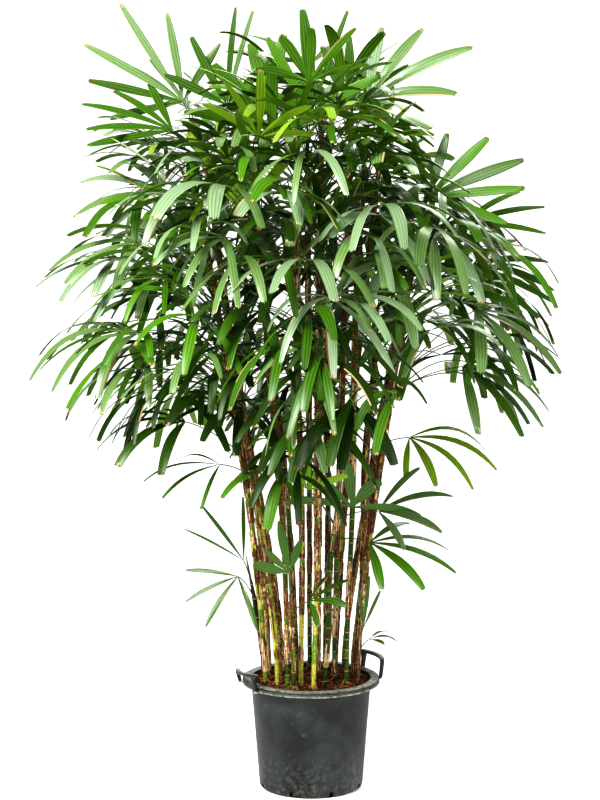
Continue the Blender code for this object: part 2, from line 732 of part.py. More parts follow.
def ruled_leaf(index, age, azimuth, chance):
    """A leaf by the rule of its age, from 0 for the oldest to 1 for the youngest."""
    foot = shaft_point(index, CANES[index][5] - CANES[index][7] * mix(LEAF_ZONE, age))
    size = chance.uniform(0.88, 1.08)
    rise = mix(PETIOLE_RISE, age) + chance.uniform(-9.0, 9.0)
    stalk = mix(PETIOLE_LENGTH, age) * size
    first = aim(azimuth, rise)
    second = aim(azimuth + chance.uniform(-10.0, 10.0), rise - mix(PETIOLE_ARCH, age))
    middle = foot + first * stalk * PETIOLE_MIDDLE
    hub = middle + second * stalk * (1.0 - PETIOLE_MIDDLE)
    heading = aim(azimuth + chance.uniform(-14.0, 14.0),
                  rise - mix(PETIOLE_ARCH, age) - mix(BLADE_DIP, age) + chance.uniform(-12.0, 12.0))
    upright = square_to(UP, heading)
    roll = math.radians(chance.uniform(-28.0, 28.0))
    face = upright * math.cos(roll) + heading.cross(upright) * math.sin(roll)
    count = LEAFLET_COUNT[0] if age < FULL_FAN_AGE else LEAFLET_COUNT[1]
    spread = mix(FAN_SPREAD, age) * chance.uniform(0.92, 1.06)
    blade = mix(LEAFLET_LENGTH, age) * size
    width = mix(LEAFLET_WIDTH, age) * chance.uniform(0.78, 1.08)
    leaflets = []
    for i in range(count):
        place = 2.0 * i / (count - 1) - 1.0
        turn = spread * place + chance.uniform(-3.5, 3.5)
        length = blade * (1.0 - SIDE_SHORTER * place * place) * chance.uniform(0.93, 1.05)
        leaflets.append((turn, length, width * (1.0 - SIDE_NARROWER * abs(place))))
    return {
        "foot": foot,
        "middle": middle,
        "hub": hub,
        "heading": heading,
        "face": face,
        "sag": max(0.05, mix(LEAFLET_SAG, age) * chance.uniform(0.75, 1.25)),
        "leaflets": leaflets,
    }


def within_outline(leaf):
    """Shorten or drop the leaflets that would leave the crown's outline."""
    kept = []
    for turn, length, width in leaf["leaflets"]:
        for share in (1.0, 0.92, 0.84, 0.76):
            tip = leaflet_line(leaf, (turn, length * share, width))[-1][0]
            if inside_crown(tip):
                kept.append((turn, length * share, width))
                break
    leaf["leaflets"] = kept
    return len(kept) >= FEWEST_LEAFLETS


def outward_azimuth(index, azimuth):
    """Turn an azimuth towards the side of the clump that the cane's head stands on."""
    head_x, head_y = CANES[index][3], CANES[index][4]
    away = math.hypot(head_x, head_y)
    out = math.degrees(math.atan2(head_y, head_x))
    turn = (azimuth - out + 180.0) % 360.0 - 180.0
    pull = mix((1.0, OUTWARD_PULL), min(1.0, away / 0.25))
    return out + turn * pull


def grow_leaves(taken):
    """All leaves of the clump, as (cane index, leaf) in the order they are placed."""
    leaves = []
    for row in MARKED_LEAVES:
        leaf = settle_leaf(marked_leaf(row), row[0], taken, 3)
        if leaf:
            leaves.append((row[0], leaf))
    for index, cane in enumerate(CANES):
        chance = random.Random(CLUMP_SEED + index)
        start_azimuth = chance.uniform(0.0, 360.0)
        count = cane[6]
        for i in reversed(range(count)):
            age = i / max(1, count - 1)
            for attempt in range(LEAF_TRIES):
                stray = chance.uniform(-1.0, 1.0) * (FIRST_STRAY + NEXT_STRAY * attempt)
                azimuth = outward_azimuth(index, start_azimuth + i * GOLDEN_ANGLE + stray)
                leaf = ruled_leaf(index, age, azimuth, chance)
                if not within_outline(leaf):
                    continue
                leaf = settle_leaf(leaf, index, taken, FEWEST_LEAFLETS)
                if leaf:
                    leaves.append((index, leaf))
                    break
    return leaves


def fuse_crown(name, shaft, leaves, collection, material):
    """Join a shaft and its leaves into one body."""
    pieces = new_collection(name + "_pieces")
    for number, leaf in enumerate(leaves):
        add_object("%s_leaf_%d" % (name, number + 1), leaf_mesh(name + "_leaf", leaf), pieces)
    if leaves:
        union = shaft.modifiers.new("Leaves", "BOOLEAN")
        union.operation = "UNION"
        union.operand_type = "COLLECTION"
        union.collection = pieces
        union.solver = "MANIFOLD"
    graph = bpy.context.evaluated_depsgraph_get()
    mesh = bpy.data.meshes.new_from_object(shaft.evaluated_get(graph))
    for item in list(pieces.objects) + [shaft]:
        bpy.data.objects.remove(item, do_unlink=True)
    bpy.data.collections.remove(pieces)
    tidy = bmesh.new()
    tidy.from_mesh(mesh)
    bmesh.ops.triangulate(tidy, faces=tidy.faces)
    drop_scraps(tidy)
    tidy.to_mesh(mesh)
    tidy.free()
    mesh.materials.clear()
    crown = add_object(name, mesh, collection, material)
    crown.name = name
    return crown


def drop_scraps(solid):
    """Keep only the largest connected body of a mesh."""
    unseen = set(solid.verts)
    islands = []
    while unseen:
        island = []
        queue = [unseen.pop()]
        while queue:
            vert = queue.pop()
            island.append(vert)
            for edge in vert.link_edges:
                other = edge.other_vert(vert)
                if other in unseen:
                    unseen.remove(other)
                    queue.append(other)
        islands.append(island)
    islands.sort(key=len)
    for island in islands[:-1]:
        bmesh.ops.delete(solid, geom=island, context="VERTS")


def main():
    """Build the potted palm."""
    clear_scene()
    parts = new_collection("lady_palm")
    cutters = new_collection("cutters")
    plastic = make_material("pot_plastic", "3B3D3C", 0.62)
    earth = make_material("potting_soil", "4A2A1E", 0.95)
    leaf_green = make_material("leaf_green", "3F6B33", 0.45)
    barks = {kind: make_material("bark_" + kind, colour, 0.8) for kind, colour in BARK_COLOURS.items()}

    build_pot(parts, cutters, plastic)
    build_soil(parts, earth)
    for name, azimuth, rise, lean in HANDLES:
        build_handle(name, azimuth, rise, lean, parts, plastic)

    taken = Taken()
    shafts = []
    for index, cane in enumerate(CANES):
        route, radii = cane_route(index)
        stem = build_stem("cane_%02d" % (index + 1), route, radii, parts, barks[cane[0]])
        taken.add("stem", mesh_triangles(stem))
        route, radii = shaft_route(index)
        shaft = build_stem("shaft_%02d" % (index + 1), route, radii, parts)
        taken.add(index, mesh_triangles(shaft))
        shafts.append(shaft)

    leaves = grow_leaves(taken)
    for index, shaft in enumerate(shafts):
        own = [leaf for owner, leaf in leaves if owner == index]
        fuse_crown("crown_%02d" % (index + 1), shaft, own, parts, leaf_green)


main()
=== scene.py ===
"""Lady palm in a nursery pot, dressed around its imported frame: canes, fan leaves, soil and moulded pot.

Units are metres, +Z is up, and the origin is at the centre of the pot's flat underside.
"""
import math
import random

import bmesh
import bpy
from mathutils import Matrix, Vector, noise
from mathutils.bvhtree import BVHTree


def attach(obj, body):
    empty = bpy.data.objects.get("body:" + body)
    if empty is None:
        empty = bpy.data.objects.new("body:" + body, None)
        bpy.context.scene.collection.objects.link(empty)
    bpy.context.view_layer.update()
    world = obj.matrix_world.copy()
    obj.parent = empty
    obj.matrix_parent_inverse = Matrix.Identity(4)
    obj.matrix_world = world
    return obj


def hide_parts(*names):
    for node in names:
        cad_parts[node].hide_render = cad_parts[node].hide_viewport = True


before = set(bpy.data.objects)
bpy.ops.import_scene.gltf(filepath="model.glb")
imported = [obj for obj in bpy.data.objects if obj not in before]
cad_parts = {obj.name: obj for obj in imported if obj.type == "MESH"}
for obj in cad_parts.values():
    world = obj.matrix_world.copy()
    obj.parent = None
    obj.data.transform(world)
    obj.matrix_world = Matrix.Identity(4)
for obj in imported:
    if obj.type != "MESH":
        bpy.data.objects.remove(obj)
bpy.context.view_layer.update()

MM = 0.001
UP = Vector((0.0, 0.0, 1.0))

# Clearance between pieces that rest on each other
SEAT_GAP = 0.0003

# Pot, with its folded rim, its foot and its drain slots
POT_SIDES = 96
POT_HEIGHT = 0.323
RIM_RADIUS = 0.200
RIM_SKIRT = 0.016
RIM_INNER_RADIUS = 0.173
RIM_ROUND = 0.0055
LIP_ROUND = 4 * MM
BODY_TOP_RADIUS = 0.1745
BASE_RADIUS = 0.151
BASE_CORNER = 0.011
WALL = 0.003
FLOOR = 0.005
DRAIN_SLOTS = 8
DRAIN_SLOT_SIZE = (0.024, 0.012, 0.016)

# Shallow groove under the rounded rim: out from the rim's radius and down from its top, in millimetres
RIM_GROOVE = ((-0.6, 7.4), (-1.5, 8.2), (-0.2, 9.4))

# Unevenness of the moulded wall and of the skirt's lower edge, with the fineness of each
WALL_WAVE = 0.5 * MM
WAVE_FINENESS = 22.0
EDGE_ROUGH = 1.1 * MM
EDGE_WAVE = 0.7 * MM
EDGE_FINENESS = 60.0

# Handles: name, first post's azimuth, bar's rise at both posts, lean, and the feet's drop and radius
HANDLE_SPAN = 40.0
HANDLE_EAR = 4.6
HANDLE_THICKNESS = 0.011
HANDLE_SLAB = 10.0 * MM
HANDLE_BAR_DEPTH = 13.0 * MM
HANDLE_EDGE = 1.6 * MM
HANDLES = (
    ("handle_left", 180.0, (0.018, 0.034), 0.008, 0.018, 0.2055),
    ("handle_right", 0.0, (0.050, 0.044), 0.002, 0.008, 0.1985),
)

# Soil: its top and mesh rings, how deep and how fine its crumbs are, and its heaps round the canes' feet
SOIL_TOP = 0.315
SOIL_RINGS = 46
SOIL_DIP = 1.5 * MM
SOIL_ROUGH = ((2.4 * MM, 60.0), (1.5 * MM, 170.0))
HEAP_HEIGHT = 5.0 * MM
HEAP_WIDTH = 0.030

# Bits and roots on the soil: how far out they lie, how many, and their sizes in millimetres
SOIL_REACH = 0.166
SOIL_BITS = 900
BIT_SIZE = (1.8, 7.5)
SOIL_ROOTS = 150
ROOT_REACH = 0.162
ROOT_LENGTH = (14.0, 55.0)
ROOT_THICKNESS = (0.35, 0.9)

# Short prop roots from the foot of every cane, in millimetres
STILT_ROOTS = 4
STILT_START = (5.0, 20.0)
STILT_LENGTH = (14.0, 26.0)

# Canes: bark, foot x and y, head x, y and z, leaf count and length of the leafy top
CANES = (
    ("fibre", -0.124, 0.040, -0.310, 0.060, 1.840, 6, 0.42),
    ("green", -0.041, 0.102, -0.190, 0.235, 1.830, 6, 0.40),
    ("green", -0.003, 0.130, -0.010, 0.300, 1.900, 6, 0.46),
    ("fibre", 0.020, 0.066, 0.030, 0.080, 1.980, 7, 0.46),
    ("yellow", -0.029, -0.093, -0.040, -0.200, 1.900, 6, 0.44),
    ("green", 0.102, -0.072, 0.145, -0.160, 1.800, 6, 0.40),
    ("green", 0.068, -0.008, 0.115, 0.000, 1.930, 6, 0.38),
    ("fibre", 0.073, 0.120, 0.205, 0.270, 1.820, 6, 0.44),
    ("yellow", 0.126, 0.072, 0.330, 0.060, 1.700, 6, 0.40),
    ("green", -0.067, -0.105, -0.150, -0.235, 1.740, 6, 0.42),
    ("yellow", -0.132, -0.050, -0.300, -0.130, 1.620, 8, 0.50),
    ("yellow", -0.097, -0.082, -0.235, -0.180, 1.390, 6, 0.40),
    ("yellow", 0.007, -0.126, 0.040, -0.290, 1.540, 6, 0.42),
    ("green", 0.043, 0.140, 0.060, 0.330, 1.560, 6, 0.40),
    ("fibre", 0.098, 0.100, 0.300, 0.200, 1.480, 6, 0.38),
    ("fibre", 0.132, -0.038, 0.270, -0.140, 1.440, 6, 0.38),
    ("fibre", -0.083, 0.078, -0.290, 0.190, 1.430, 7, 0.42),
    ("fibre", 0.136, 0.030, 0.190, 0.040, 1.340, 4, 0.38),
    ("fibre", -0.090, 0.010, -0.215, 0.010, 1.220, 6, 0.38),
    ("dark", -0.140, 0.074, -0.176, 0.040, 0.600, 0, 0.10),
    ("green", -0.050, -0.128, -0.058, -0.168, 0.600, 0, 0.10),
    ("green", 0.040, -0.070, 0.075, -0.110, 0.860, 3, 0.16),
)
CANE_BASE_RADIUS = 0.0080
CANE_TOP_RADIUS = 0.0105
SHAFT_TIP_RADIUS = 0.0048
CANE_COLLAR = 0.020
CANE_LEAN_POWER = 1.35
CANE_SWAY = 0.007
CANE_STEPS = 4
SHAFT_STEPS = 3
CUT_STRAIGHT = 0.012

# Reach of the crown to the left and to the right at each height
CROWN_OUTLINE = (
    (0.420, 0.16, 0.16),
    (0.620, 0.34, 0.30),
    (0.720, 0.31, 0.42),
    (0.900, 0.40, 0.42),
    (1.000, 0.60, 0.45),
    (1.080, 0.72, 0.66),
    (1.200, 0.79, 0.71),
    (1.350, 0.76, 0.73),
    (1.550, 0.72, 0.73),
    (1.700, 0.67, 0.66),
    (1.820, 0.66, 0.58),
    (1.950, 0.63, 0.49),
    (2.100, 0.56, 0.33),
    (2.170, 0.46, 0.26),
    (2.210, 0.33, 0.14),
    (2.250, 0.24, 0.08),
)
CROWN_TOP = 2.266

# Leaf rule, each pair going from the oldest leaf of a cane to its youngest
CLUMP_SEED = 11
GOLDEN_ANGLE = 137.5
PETIOLE_LENGTH = (0.33, 0.15)
PETIOLE_RISE = (28.0, 74.0)
PETIOLE_ARCH = (34.0, 12.0)
PETIOLE_MIDDLE = 0.52
BLADE_DIP = (26.0, 4.0)
LEAFLET_LENGTH = (0.300, 0.235)
LEAFLET_WIDTH = (0.037, 0.030)
LEAFLET_SAG = (2.1, 0.35)
FAN_SPREAD = (112.0, 62.0)
SIDE_SHORTER = 0.26
SIDE_NARROWER = 0.20
LEAFLET_COUNT = (6, 5)
FULL_FAN_AGE = 0.55
OUTWARD_PULL = 0.70
LEAF_TRIES = 24
FIRST_STRAY = 12.0
NEXT_STRAY = 5.0
LEAF_ZONE = (0.93, 0.03)
FEWEST_LEAFLETS = 4

# Shares that a leaflet may be cut back to, and the distance from the middle at which a cane's head turns its
# leaves outward most
SHORTENED = (1.0, 0.92, 0.84, 0.76)
PULLED_AT = 0.25

# How far single leaves stray from the rule, in degrees or as a share of what it says
LEAF_SIZES = (0.88, 1.08)
RISE_STRAY = 9.0
ARCH_TURN = 10.0
HEADING_TURN = 14.0
HEADING_STRAY = 12.0
LEAF_ROLL = 28.0
FAN_SPREADS = (0.92, 1.06)
LEAFLET_WIDTHS = (0.78, 1.08)
LEAFLET_TURN = 3.5
LEAFLET_LENGTHS = (0.93, 1.05)
SAGS = (0.75, 1.25)
LEAST_SAG = 0.05

# Coarse leaf, which keeps each leaf's place free
HUB_RADIUS = 0.016
HUB_RISE = 0.0012
KEEL_DEPTH = 0.0034
PETIOLE_THICKNESS = 0.0050
PETIOLE_NECK = 0.035
STRAIGHT_PETIOLE = 0.19
SAG_POWER = 1.6
LINE_STEPS = 12
DROOPING_BENDS = ((4, 0.86), (9, 1.0))
STIFF_BENDS = ((6, 1.0),)
STIFF_SAG = 1.35

# Leaves placed one by one: the arch of the petiole, the age that they count as, and the fewest leaflets
MARKED_ARCH = 0.08
MARKED_AGE = 0.5
MARKED_FEWEST = 3

# Leaves that stand out: cane, height on it, hub, heading, face, sag and the leaflets (turn, length, width)
MARKED_LEAVES = (
    (0, 1.80, (-0.366, 0.05, 1.985), (-0.60, 0.0, 0.80), (0.0, -1.0, 0.12), 0.06,
     ((-66, 0.20, 0.024), (-28, 0.26, 0.024), (-3, 0.335, 0.024), (21, 0.33, 0.024), (40, 0.28, 0.024),
      (64, 0.22, 0.022))),
    (0, 1.70, (-0.390, -0.06, 1.900), (-0.96, -0.1, 0.26), (0.0, -0.70, 0.70), 0.25,
     ((-60, 0.20, 0.028), (-34, 0.22, 0.028), (-11, 0.27, 0.028), (10, 0.25, 0.028), (32, 0.26, 0.026))),
    (6, 1.84, (0.160, -0.06, 1.990), (0.82, -0.05, 0.57), (0.0, -0.80, 0.60), 0.40,
     ((-62, 0.22, 0.034), (-28, 0.26, 0.036), (-2, 0.33, 0.038), (24, 0.26, 0.042), (54, 0.24, 0.034))),
    (8, 1.60, (0.330, -0.10, 1.714), (0.91, -0.05, 0.42), (0.0, -0.90, 0.44), 0.12,
     ((-44, 0.24, 0.030), (-20, 0.27, 0.032), (0, 0.285, 0.032), (24, 0.24, 0.030), (52, 0.20, 0.030),
      (84, 0.18, 0.028))),
    (8, 1.36, (0.462, 0.02, 1.520), (0.96, 0.0, -0.20), (0.1, -0.75, 0.66), 0.50,
     ((-54, 0.24, 0.024), (-31, 0.25, 0.026), (-11, 0.26, 0.026), (9, 0.26, 0.026), (30, 0.25, 0.026),
      (58, 0.20, 0.024))),
    (15, 1.18, (0.455, -0.16, 1.400), (0.86, -0.30, -0.30), (0.30, -0.45, 0.84), 1.50,
     ((-62, 0.26, 0.034), (-30, 0.30, 0.036), (2, 0.31, 0.038), (34, 0.30, 0.034), (66, 0.25, 0.030))),
    (17, 1.10, (0.430, -0.06, 1.235), (0.90, -0.15, -0.15), (0.10, -0.45, 0.89), 1.40,
     ((-72, 0.26, 0.030), (-40, 0.30, 0.032), (-12, 0.30, 0.034), (16, 0.30, 0.034), (48, 0.26, 0.030))),
    (17, 0.975, (0.285, 0.02, 1.022), (0.80, -0.10, 0.10), (0.05, -0.55, 0.83), 1.60,
     ((-98, 0.15, 0.020), (-62, 0.20, 0.022), (-32, 0.27, 0.024), (-6, 0.29, 0.022), (24, 0.26, 0.018))),
    (11, 1.16, (-0.490, -0.12, 1.330), (-0.98, -0.15, 0.20), (-0.10, -0.30, 0.95), 1.75,
     ((-58, 0.30, 0.030), (-26, 0.35, 0.032), (2, 0.365, 0.034), (30, 0.34, 0.034), (60, 0.30, 0.030))),
    (18, 0.94, (-0.360, -0.04, 1.075), (-0.93, -0.25, 0.12), (-0.10, -0.35, 0.93), 1.60,
     ((-70, 0.24, 0.028), (-36, 0.28, 0.030), (-6, 0.29, 0.030), (26, 0.28, 0.030), (60, 0.24, 0.028))),
    (18, 0.90, (-0.262, -0.03, 0.950), (-0.80, -0.45, -0.10), (-0.10, -0.40, 0.90), 1.10,
     ((-78, 0.20, 0.014), (-34, 0.24, 0.014), (6, 0.22, 0.016), (48, 0.20, 0.016))),
    (19, 0.585, (-0.196, 0.00, 0.665), (-0.60, -0.05, 0.80), (0.1, -0.98, 0.15), 0.06,
     ((-122, 0.17, 0.024), (-62, 0.16, 0.022), (-38, 0.19, 0.024), (-2, 0.20, 0.022), (20, 0.20, 0.014))),
    (19, 0.545, (-0.212, -0.02, 0.622), (-0.88, -0.20, -0.42), (0.0, -0.80, 0.60), 0.30,
     ((-42, 0.16, 0.022), (-8, 0.17, 0.022), (26, 0.18, 0.024), (84, 0.18, 0.026))),
    (20, 0.588, (-0.063, -0.19, 0.665), (-0.30, -0.10, 0.95), (0.2, -0.95, 0.25), 0.10,
     ((-40, 0.10, 0.022), (-8, 0.155, 0.026), (26, 0.10, 0.020), (56, 0.11, 0.034))),
    (20, 0.540, (-0.005, -0.22, 0.590), (0.75, -0.40, 0.35), (0.0, -0.55, 0.83), 0.60,
     ((-60, 0.12, 0.024), (-16, 0.14, 0.026), (28, 0.13, 0.026), (70, 0.11, 0.022))),
    (21, 0.74, (0.165, -0.16, 0.745), (0.92, -0.30, -0.05), (0.0, -0.50, 0.86), 0.80,
     ((-64, 0.18, 0.026), (-28, 0.24, 0.028), (2, 0.27, 0.024), (32, 0.24, 0.022), (66, 0.18, 0.022))),
    (12, 1.36, (-0.010, -0.420, 1.545), (-0.10, -0.96, 0.10), (0.0, -0.15, 0.98), 1.70,
     ((-82, 0.26, 0.034), (-48, 0.29, 0.036), (-14, 0.30, 0.038), (18, 0.30, 0.038), (52, 0.28, 0.036))),
    (5, 1.62, (0.180, -0.400, 1.690), (0.45, -0.86, 0.10), (0.0, -0.20, 0.97), 1.60,
     ((-84, 0.24, 0.030), (-48, 0.28, 0.034), (-12, 0.29, 0.036), (24, 0.28, 0.034), (62, 0.24, 0.030))),
    (9, 1.60, (-0.230, -0.430, 1.740), (-0.50, -0.84, 0.12), (0.0, -0.22, 0.97), 1.60,
     ((-84, 0.25, 0.034), (-48, 0.29, 0.038), (-12, 0.30, 0.040), (24, 0.29, 0.036), (62, 0.25, 0.032))),
    (10, 1.45, (-0.475, -0.08, 1.590), (-0.95, -0.15, 0.02), (-0.05, -0.35, 0.94), 1.30,
     ((-70, 0.24, 0.030), (-36, 0.28, 0.032), (-4, 0.29, 0.034), (28, 0.28, 0.032), (62, 0.24, 0.030))),
    (16, 1.28, (-0.470, 0.16, 1.430), (-0.96, 0.10, -0.02), (-0.05, -0.30, 0.95), 1.45,
     ((-68, 0.25, 0.032), (-34, 0.29, 0.034), (0, 0.30, 0.034), (34, 0.29, 0.034), (68, 0.25, 0.030))),
    (21, 0.80, (0.190, -0.13, 0.830), (0.85, -0.30, 0.30), (0.0, -0.75, 0.66), 0.60,
     ((-58, 0.16, 0.024), (-22, 0.22, 0.026), (12, 0.23, 0.024), (48, 0.18, 0.022))),
)

# Their kinds of green, in the same order, where sage and pale are painted sheen
MARKED_GREENS = (
    "deep", "deep", "sage", "fresh", "deep", "sage", "deep", "lime", "sage", "deep", "fresh",
    "deep", "deep", "deep", "deep", "fresh", "pale", "pale", "pale", "sage", "sage", "sage",
)

# How slim the blades are beside the solids': some of those above by number, and all leaves by the rule
SLIM_LEAVES = {10: 0.8, 11: 0.55, 12: 0.62}
RULED_SLIM = 0.90

# Leaves of the photograph that only this finer crown holds: green, then the same as above
# Each row's green is one of the kinds further down, where dark is painted shade and sage and pale are painted
# sheen
EXTRA_LEAVES = (
    ("fresh", 1, 1.80, (-0.125, 0.05, 1.970), (-0.25, 0.0, 0.97), (0.0, -1.0, 0.15), 0.20,
     ((-70, 0.17, 0.030), (-26, 0.215, 0.038), (-2, 0.19, 0.036), (38, 0.22, 0.030), (58, 0.17, 0.028))),
    ("fresh", 4, 1.78, (-0.110, -0.12, 1.880), (-0.10, -0.35, 0.93), (0.0, -0.93, 0.35), 0.45,
     ((-64, 0.22, 0.030), (-34, 0.25, 0.034), (-4, 0.22, 0.036), (28, 0.27, 0.032), (60, 0.26, 0.030))),
    ("fresh", 3, 1.90, (0.000, -0.10, 1.950), (0.05, -0.10, 0.99), (0.0, -0.99, 0.10), 0.15,
     ((-58, 0.22, 0.030), (-16, 0.300, 0.018), (5, 0.285, 0.040), (36, 0.24, 0.030), (70, 0.22, 0.030))),
    ("deep", 1, 1.82, (-0.240, 0.04, 1.975), (0.0, 0.0, 1.0), (0.1, -1.0, 0.0), 0.05,
     ((-44, 0.20, 0.026), (-13, 0.280, 0.016), (-3, 0.282, 0.018), (30, 0.22, 0.028), (62, 0.20, 0.028))),
    ("deep", 6, 1.86, (0.115, 0.10, 1.970), (0.05, 0.05, 0.99), (0.0, -1.0, 0.05), 0.15,
     ((-50, 0.21, 0.030), (-20, 0.225, 0.030), (6, 0.21, 0.030), (30, 0.20, 0.032), (64, 0.20, 0.028))),
    ("lime", 9, 1.52, (-0.190, -0.06, 1.660), (0.0, 0.15, 0.99), (0.1, -0.97, 0.15), 0.10,
     ((-34, 0.30, 0.030), (-17, 0.32, 0.032), (0, 0.33, 0.032), (17, 0.31, 0.032), (34, 0.29, 0.030))),
    ("pale", 4, 1.60, (-0.060, -0.40, 1.720), (-0.30, -0.92, 0.10), (0.0, -0.15, 0.98), 1.50,
     ((-100, 0.23, 0.030), (-60, 0.26, 0.032), (-20, 0.25, 0.044), (24, 0.22, 0.036), (70, 0.22, 0.030))),
    ("sage", 5, 1.48, (0.165, -0.34, 1.565), (0.50, -0.85, 0.0), (0.0, -0.20, 0.98), 1.40,
     ((-60, 0.24, 0.030), (-20, 0.22, 0.028), (20, 0.20, 0.028), (60, 0.22, 0.028))),
    ("pale", 10, 1.42, (-0.550, -0.05, 1.545), (-0.95, -0.20, -0.10), (0.0, -0.30, 0.95), 1.10,
     ((-60, 0.20, 0.026), (-30, 0.24, 0.028), (0, 0.25, 0.028), (30, 0.24, 0.028), (62, 0.20, 0.026))),
    ("sage", 10, 1.52, (-0.420, 0.02, 1.720), (-0.95, 0.05, 0.20), (0.0, -0.60, 0.80), 0.80,
     ((-55, 0.24, 0.028), (-20, 0.28, 0.030), (15, 0.28, 0.030), (50, 0.24, 0.028))),
    ("deep", 16, 1.22, (-0.540, 0.06, 1.330), (-0.97, 0.05, -0.05), (0.0, -0.35, 0.94), 1.60,
     ((-52, 0.26, 0.028), (-18, 0.29, 0.030), (14, 0.29, 0.030), (46, 0.26, 0.028))),
    ("fresh", 8, 1.48, (0.430, -0.05, 1.640), (0.96, -0.10, 0.15), (0.0, -0.70, 0.70), 0.45,
     ((-40, 0.21, 0.024), (-14, 0.24, 0.026), (12, 0.24, 0.026), (38, 0.21, 0.024))),
    ("lime", 12, 0.84, (-0.008, -0.20, 0.900), (0.25, 0.0, 0.97), (0.1, -0.97, 0.20), 0.10,
     ((-50, 0.12, 0.020), (-14, 0.17, 0.034), (14, 0.15, 0.020), (44, 0.12, 0.022))),
    ("deep", 5, 0.80, (0.115, -0.15, 0.845), (0.10, -0.20, 0.97), (0.0, -0.90, 0.40), 0.50,
     ((-80, 0.20, 0.028), (-30, 0.12, 0.034), (10, 0.14, 0.030), (50, 0.20, 0.026), (84, 0.22, 0.026))),
    ("dark", 4, 1.12, (-0.100, -0.25, 1.080), (0.05, -0.35, -0.90), (0.0, -0.95, 0.30), 0.30,
     ((-26, 0.14, 0.018), (0, 0.15, 0.020), (30, 0.15, 0.018))),
    ("deep", 15, 0.44, (0.150, -0.07, 0.480), (0.12, -0.10, 0.98), (-0.3, -0.90, 0.20), 0.15,
     ((-16, 0.13, 0.011), (0, 0.16, 0.013), (14, 0.12, 0.010))),
    ("deep", 15, 0.40, (0.165, -0.06, 0.445), (0.90, -0.20, 0.35), (0.0, -0.40, 0.90), 1.20,
     ((-30, 0.06, 0.012), (0, 0.09, 0.012), (35, 0.07, 0.016))),
)

# Finer leaves that fill the crown by the same rule, on all canes but the short shoots at the end
FILL_SEED = 400
FILLED_CANES = 19
FILL_LEAVES = 16
FILL_TRIES = 10
FILL_FEWEST = 3
FILL_SLIM = (0.70, 1.0)

# On a tall cane the fill leaves are of middle age and broader
TALL_CANE = 1.70
TALL_AGES = (0.15, 0.85)
TALL_BROADER = 0.15

# Gaps in the crown that show sky: west, east, low and high edge of each
OPEN_SKY = (
    (0.24, 0.55, 0.80, 1.14),
    (0.26, 0.55, 1.98, 2.30),
    (0.36, 0.55, 1.86, 1.99),
    (0.44, 0.80, 1.72, 1.90),
    (0.34, 0.40, 1.12, 1.40),
    (-0.62, -0.30, 0.60, 0.98),
    (-0.18, 0.16, 2.20, 2.30),
)
SKY_POINTS = (5, 7, 9, 11, 12)
SKY_FEWEST = 2

# Fine leaflets: stations along a blade, the relative width at its foot and where it's broadest and tapers
STATIONS = (0.0, 0.05, 0.12, 0.21, 0.32, 0.44, 0.56, 0.68, 0.79, 0.88, 0.94, 0.972, 1.0)
BLADE_FOOT = 0.28
BLADE_BROADEST = 0.55
BLADE_TAPER = 0.60

# Each blade's foot at the hub, its pleats, the widths under which it has two or three ribs, and its tip,
# which is blunter on the leaves that sag most
FOOT_PLACE = 0.15
FOOT_WIDTH = 0.16
PLEAT_DEPTH = 1.3 * MM
FULL_PLEAT = 0.011
BLADE_THICKNESS = 0.8 * MM
TWO_RIBS = 0.018
THREE_RIBS = 0.029
TOOTH = 11 * MM
SLACK_SAG = 0.8
SLACK_TIP = (0.40, 0.78)
FIRM_TIP = (0.22, 0.56)
TIP_DIP = 0.12

# How blades differ: droop, width, twist in degrees, fold, swerve, dry tips and edges, and how dry
MARKED_DROOP = (0.75, 1.30)
RULED_DROOP = (0.75, 1.50)
BLADE_WIDTHS = (0.90, 1.12)
BLADE_TWIST = 20.0
BLADE_FOLD = (0.25, 0.55)
BLADE_SWERVE = 0.06
DRY_TIPS = 0.60
DRY_EDGES = 0.16
DRY_ROWS = (0, 1, 1, 2)
DRY_TAN = 0.6

# Leaf greens as sRGB: a shade and a light for the pleats' alternate facets, which are painted shading, the
# underside, gloss and roughness
# Dark is painted shade for leaves deep in the crown, sage and pale are painted sheen on waxy tops, and lime
# is partly painted light through backlit leaves and partly young leaves' own green
# The undersides are lighter as real ones are, and lightened further as painted light
GREENS = {
    "dark": ("1A2C06", "253E0A", "263C08", 0.24, 0.38),
    "deep": ("2C460C", "3C6012", "44640E", 0.30, 0.36),
    "fresh": ("3C6012", "4C7418", "5A8020", 0.28, 0.38),
    "lime": ("64801A", "769228", "7C9A26", 0.22, 0.42),
    "sage": ("4C6436", "607A46", "587A24", 0.55, 0.34),
    "pale": ("5E7452", "768A68", "607C38", 0.70, 0.32),
}

# Veins of a leaf's skin, and the tones of its dry parts and of its petiole
VEIN_SIZE = 1.6 * MM
VEIN_DEPTH = 0.15 * MM
DRY_TONES = (("dry_tan", "9C8468"), ("dry_brown", "5E4630"))
PETIOLE_TONE = "2E4A14"

# The darker green painted as shade in the pleats of each kind's underside
UNDER_PLEAT_SHADES = {"dark": "dark_shade", "deep": "deep_shade", "fresh": "fresh_shade", "lime": "lime_shade",
              "sage": "deep_under", "pale": "sage_under"}

# The kind that an odd leaflet takes instead, how often, and the height over which that happens
GREEN_NEIGHBOURS = {"dark": "deep", "deep": "sage", "fresh": "deep", "lime": "fresh", "sage": "pale",
                    "pale": "sage"}
ODD_LEAFLETS = 0.22
LOWEST_ODD = 1.05

# How often a leaf gets each kind of green, in the order of the kinds above, by its place and its age, so that
# leaves inside and low down take painted shade and those outside and on top painted sheen
GREEN_SHARES = {
    "top": (0, 1, 5, 4, 7, 5),
    "inner": (5, 5, 2, 1, 1, 0),
    "low_inner": (9, 5, 1, 0, 0, 0),
    "low": (5, 7, 3, 0, 3, 1),
    "young": (2, 5, 4, 1, 4, 1),
    "outer": (2, 3, 2, 0, 6, 5),
}
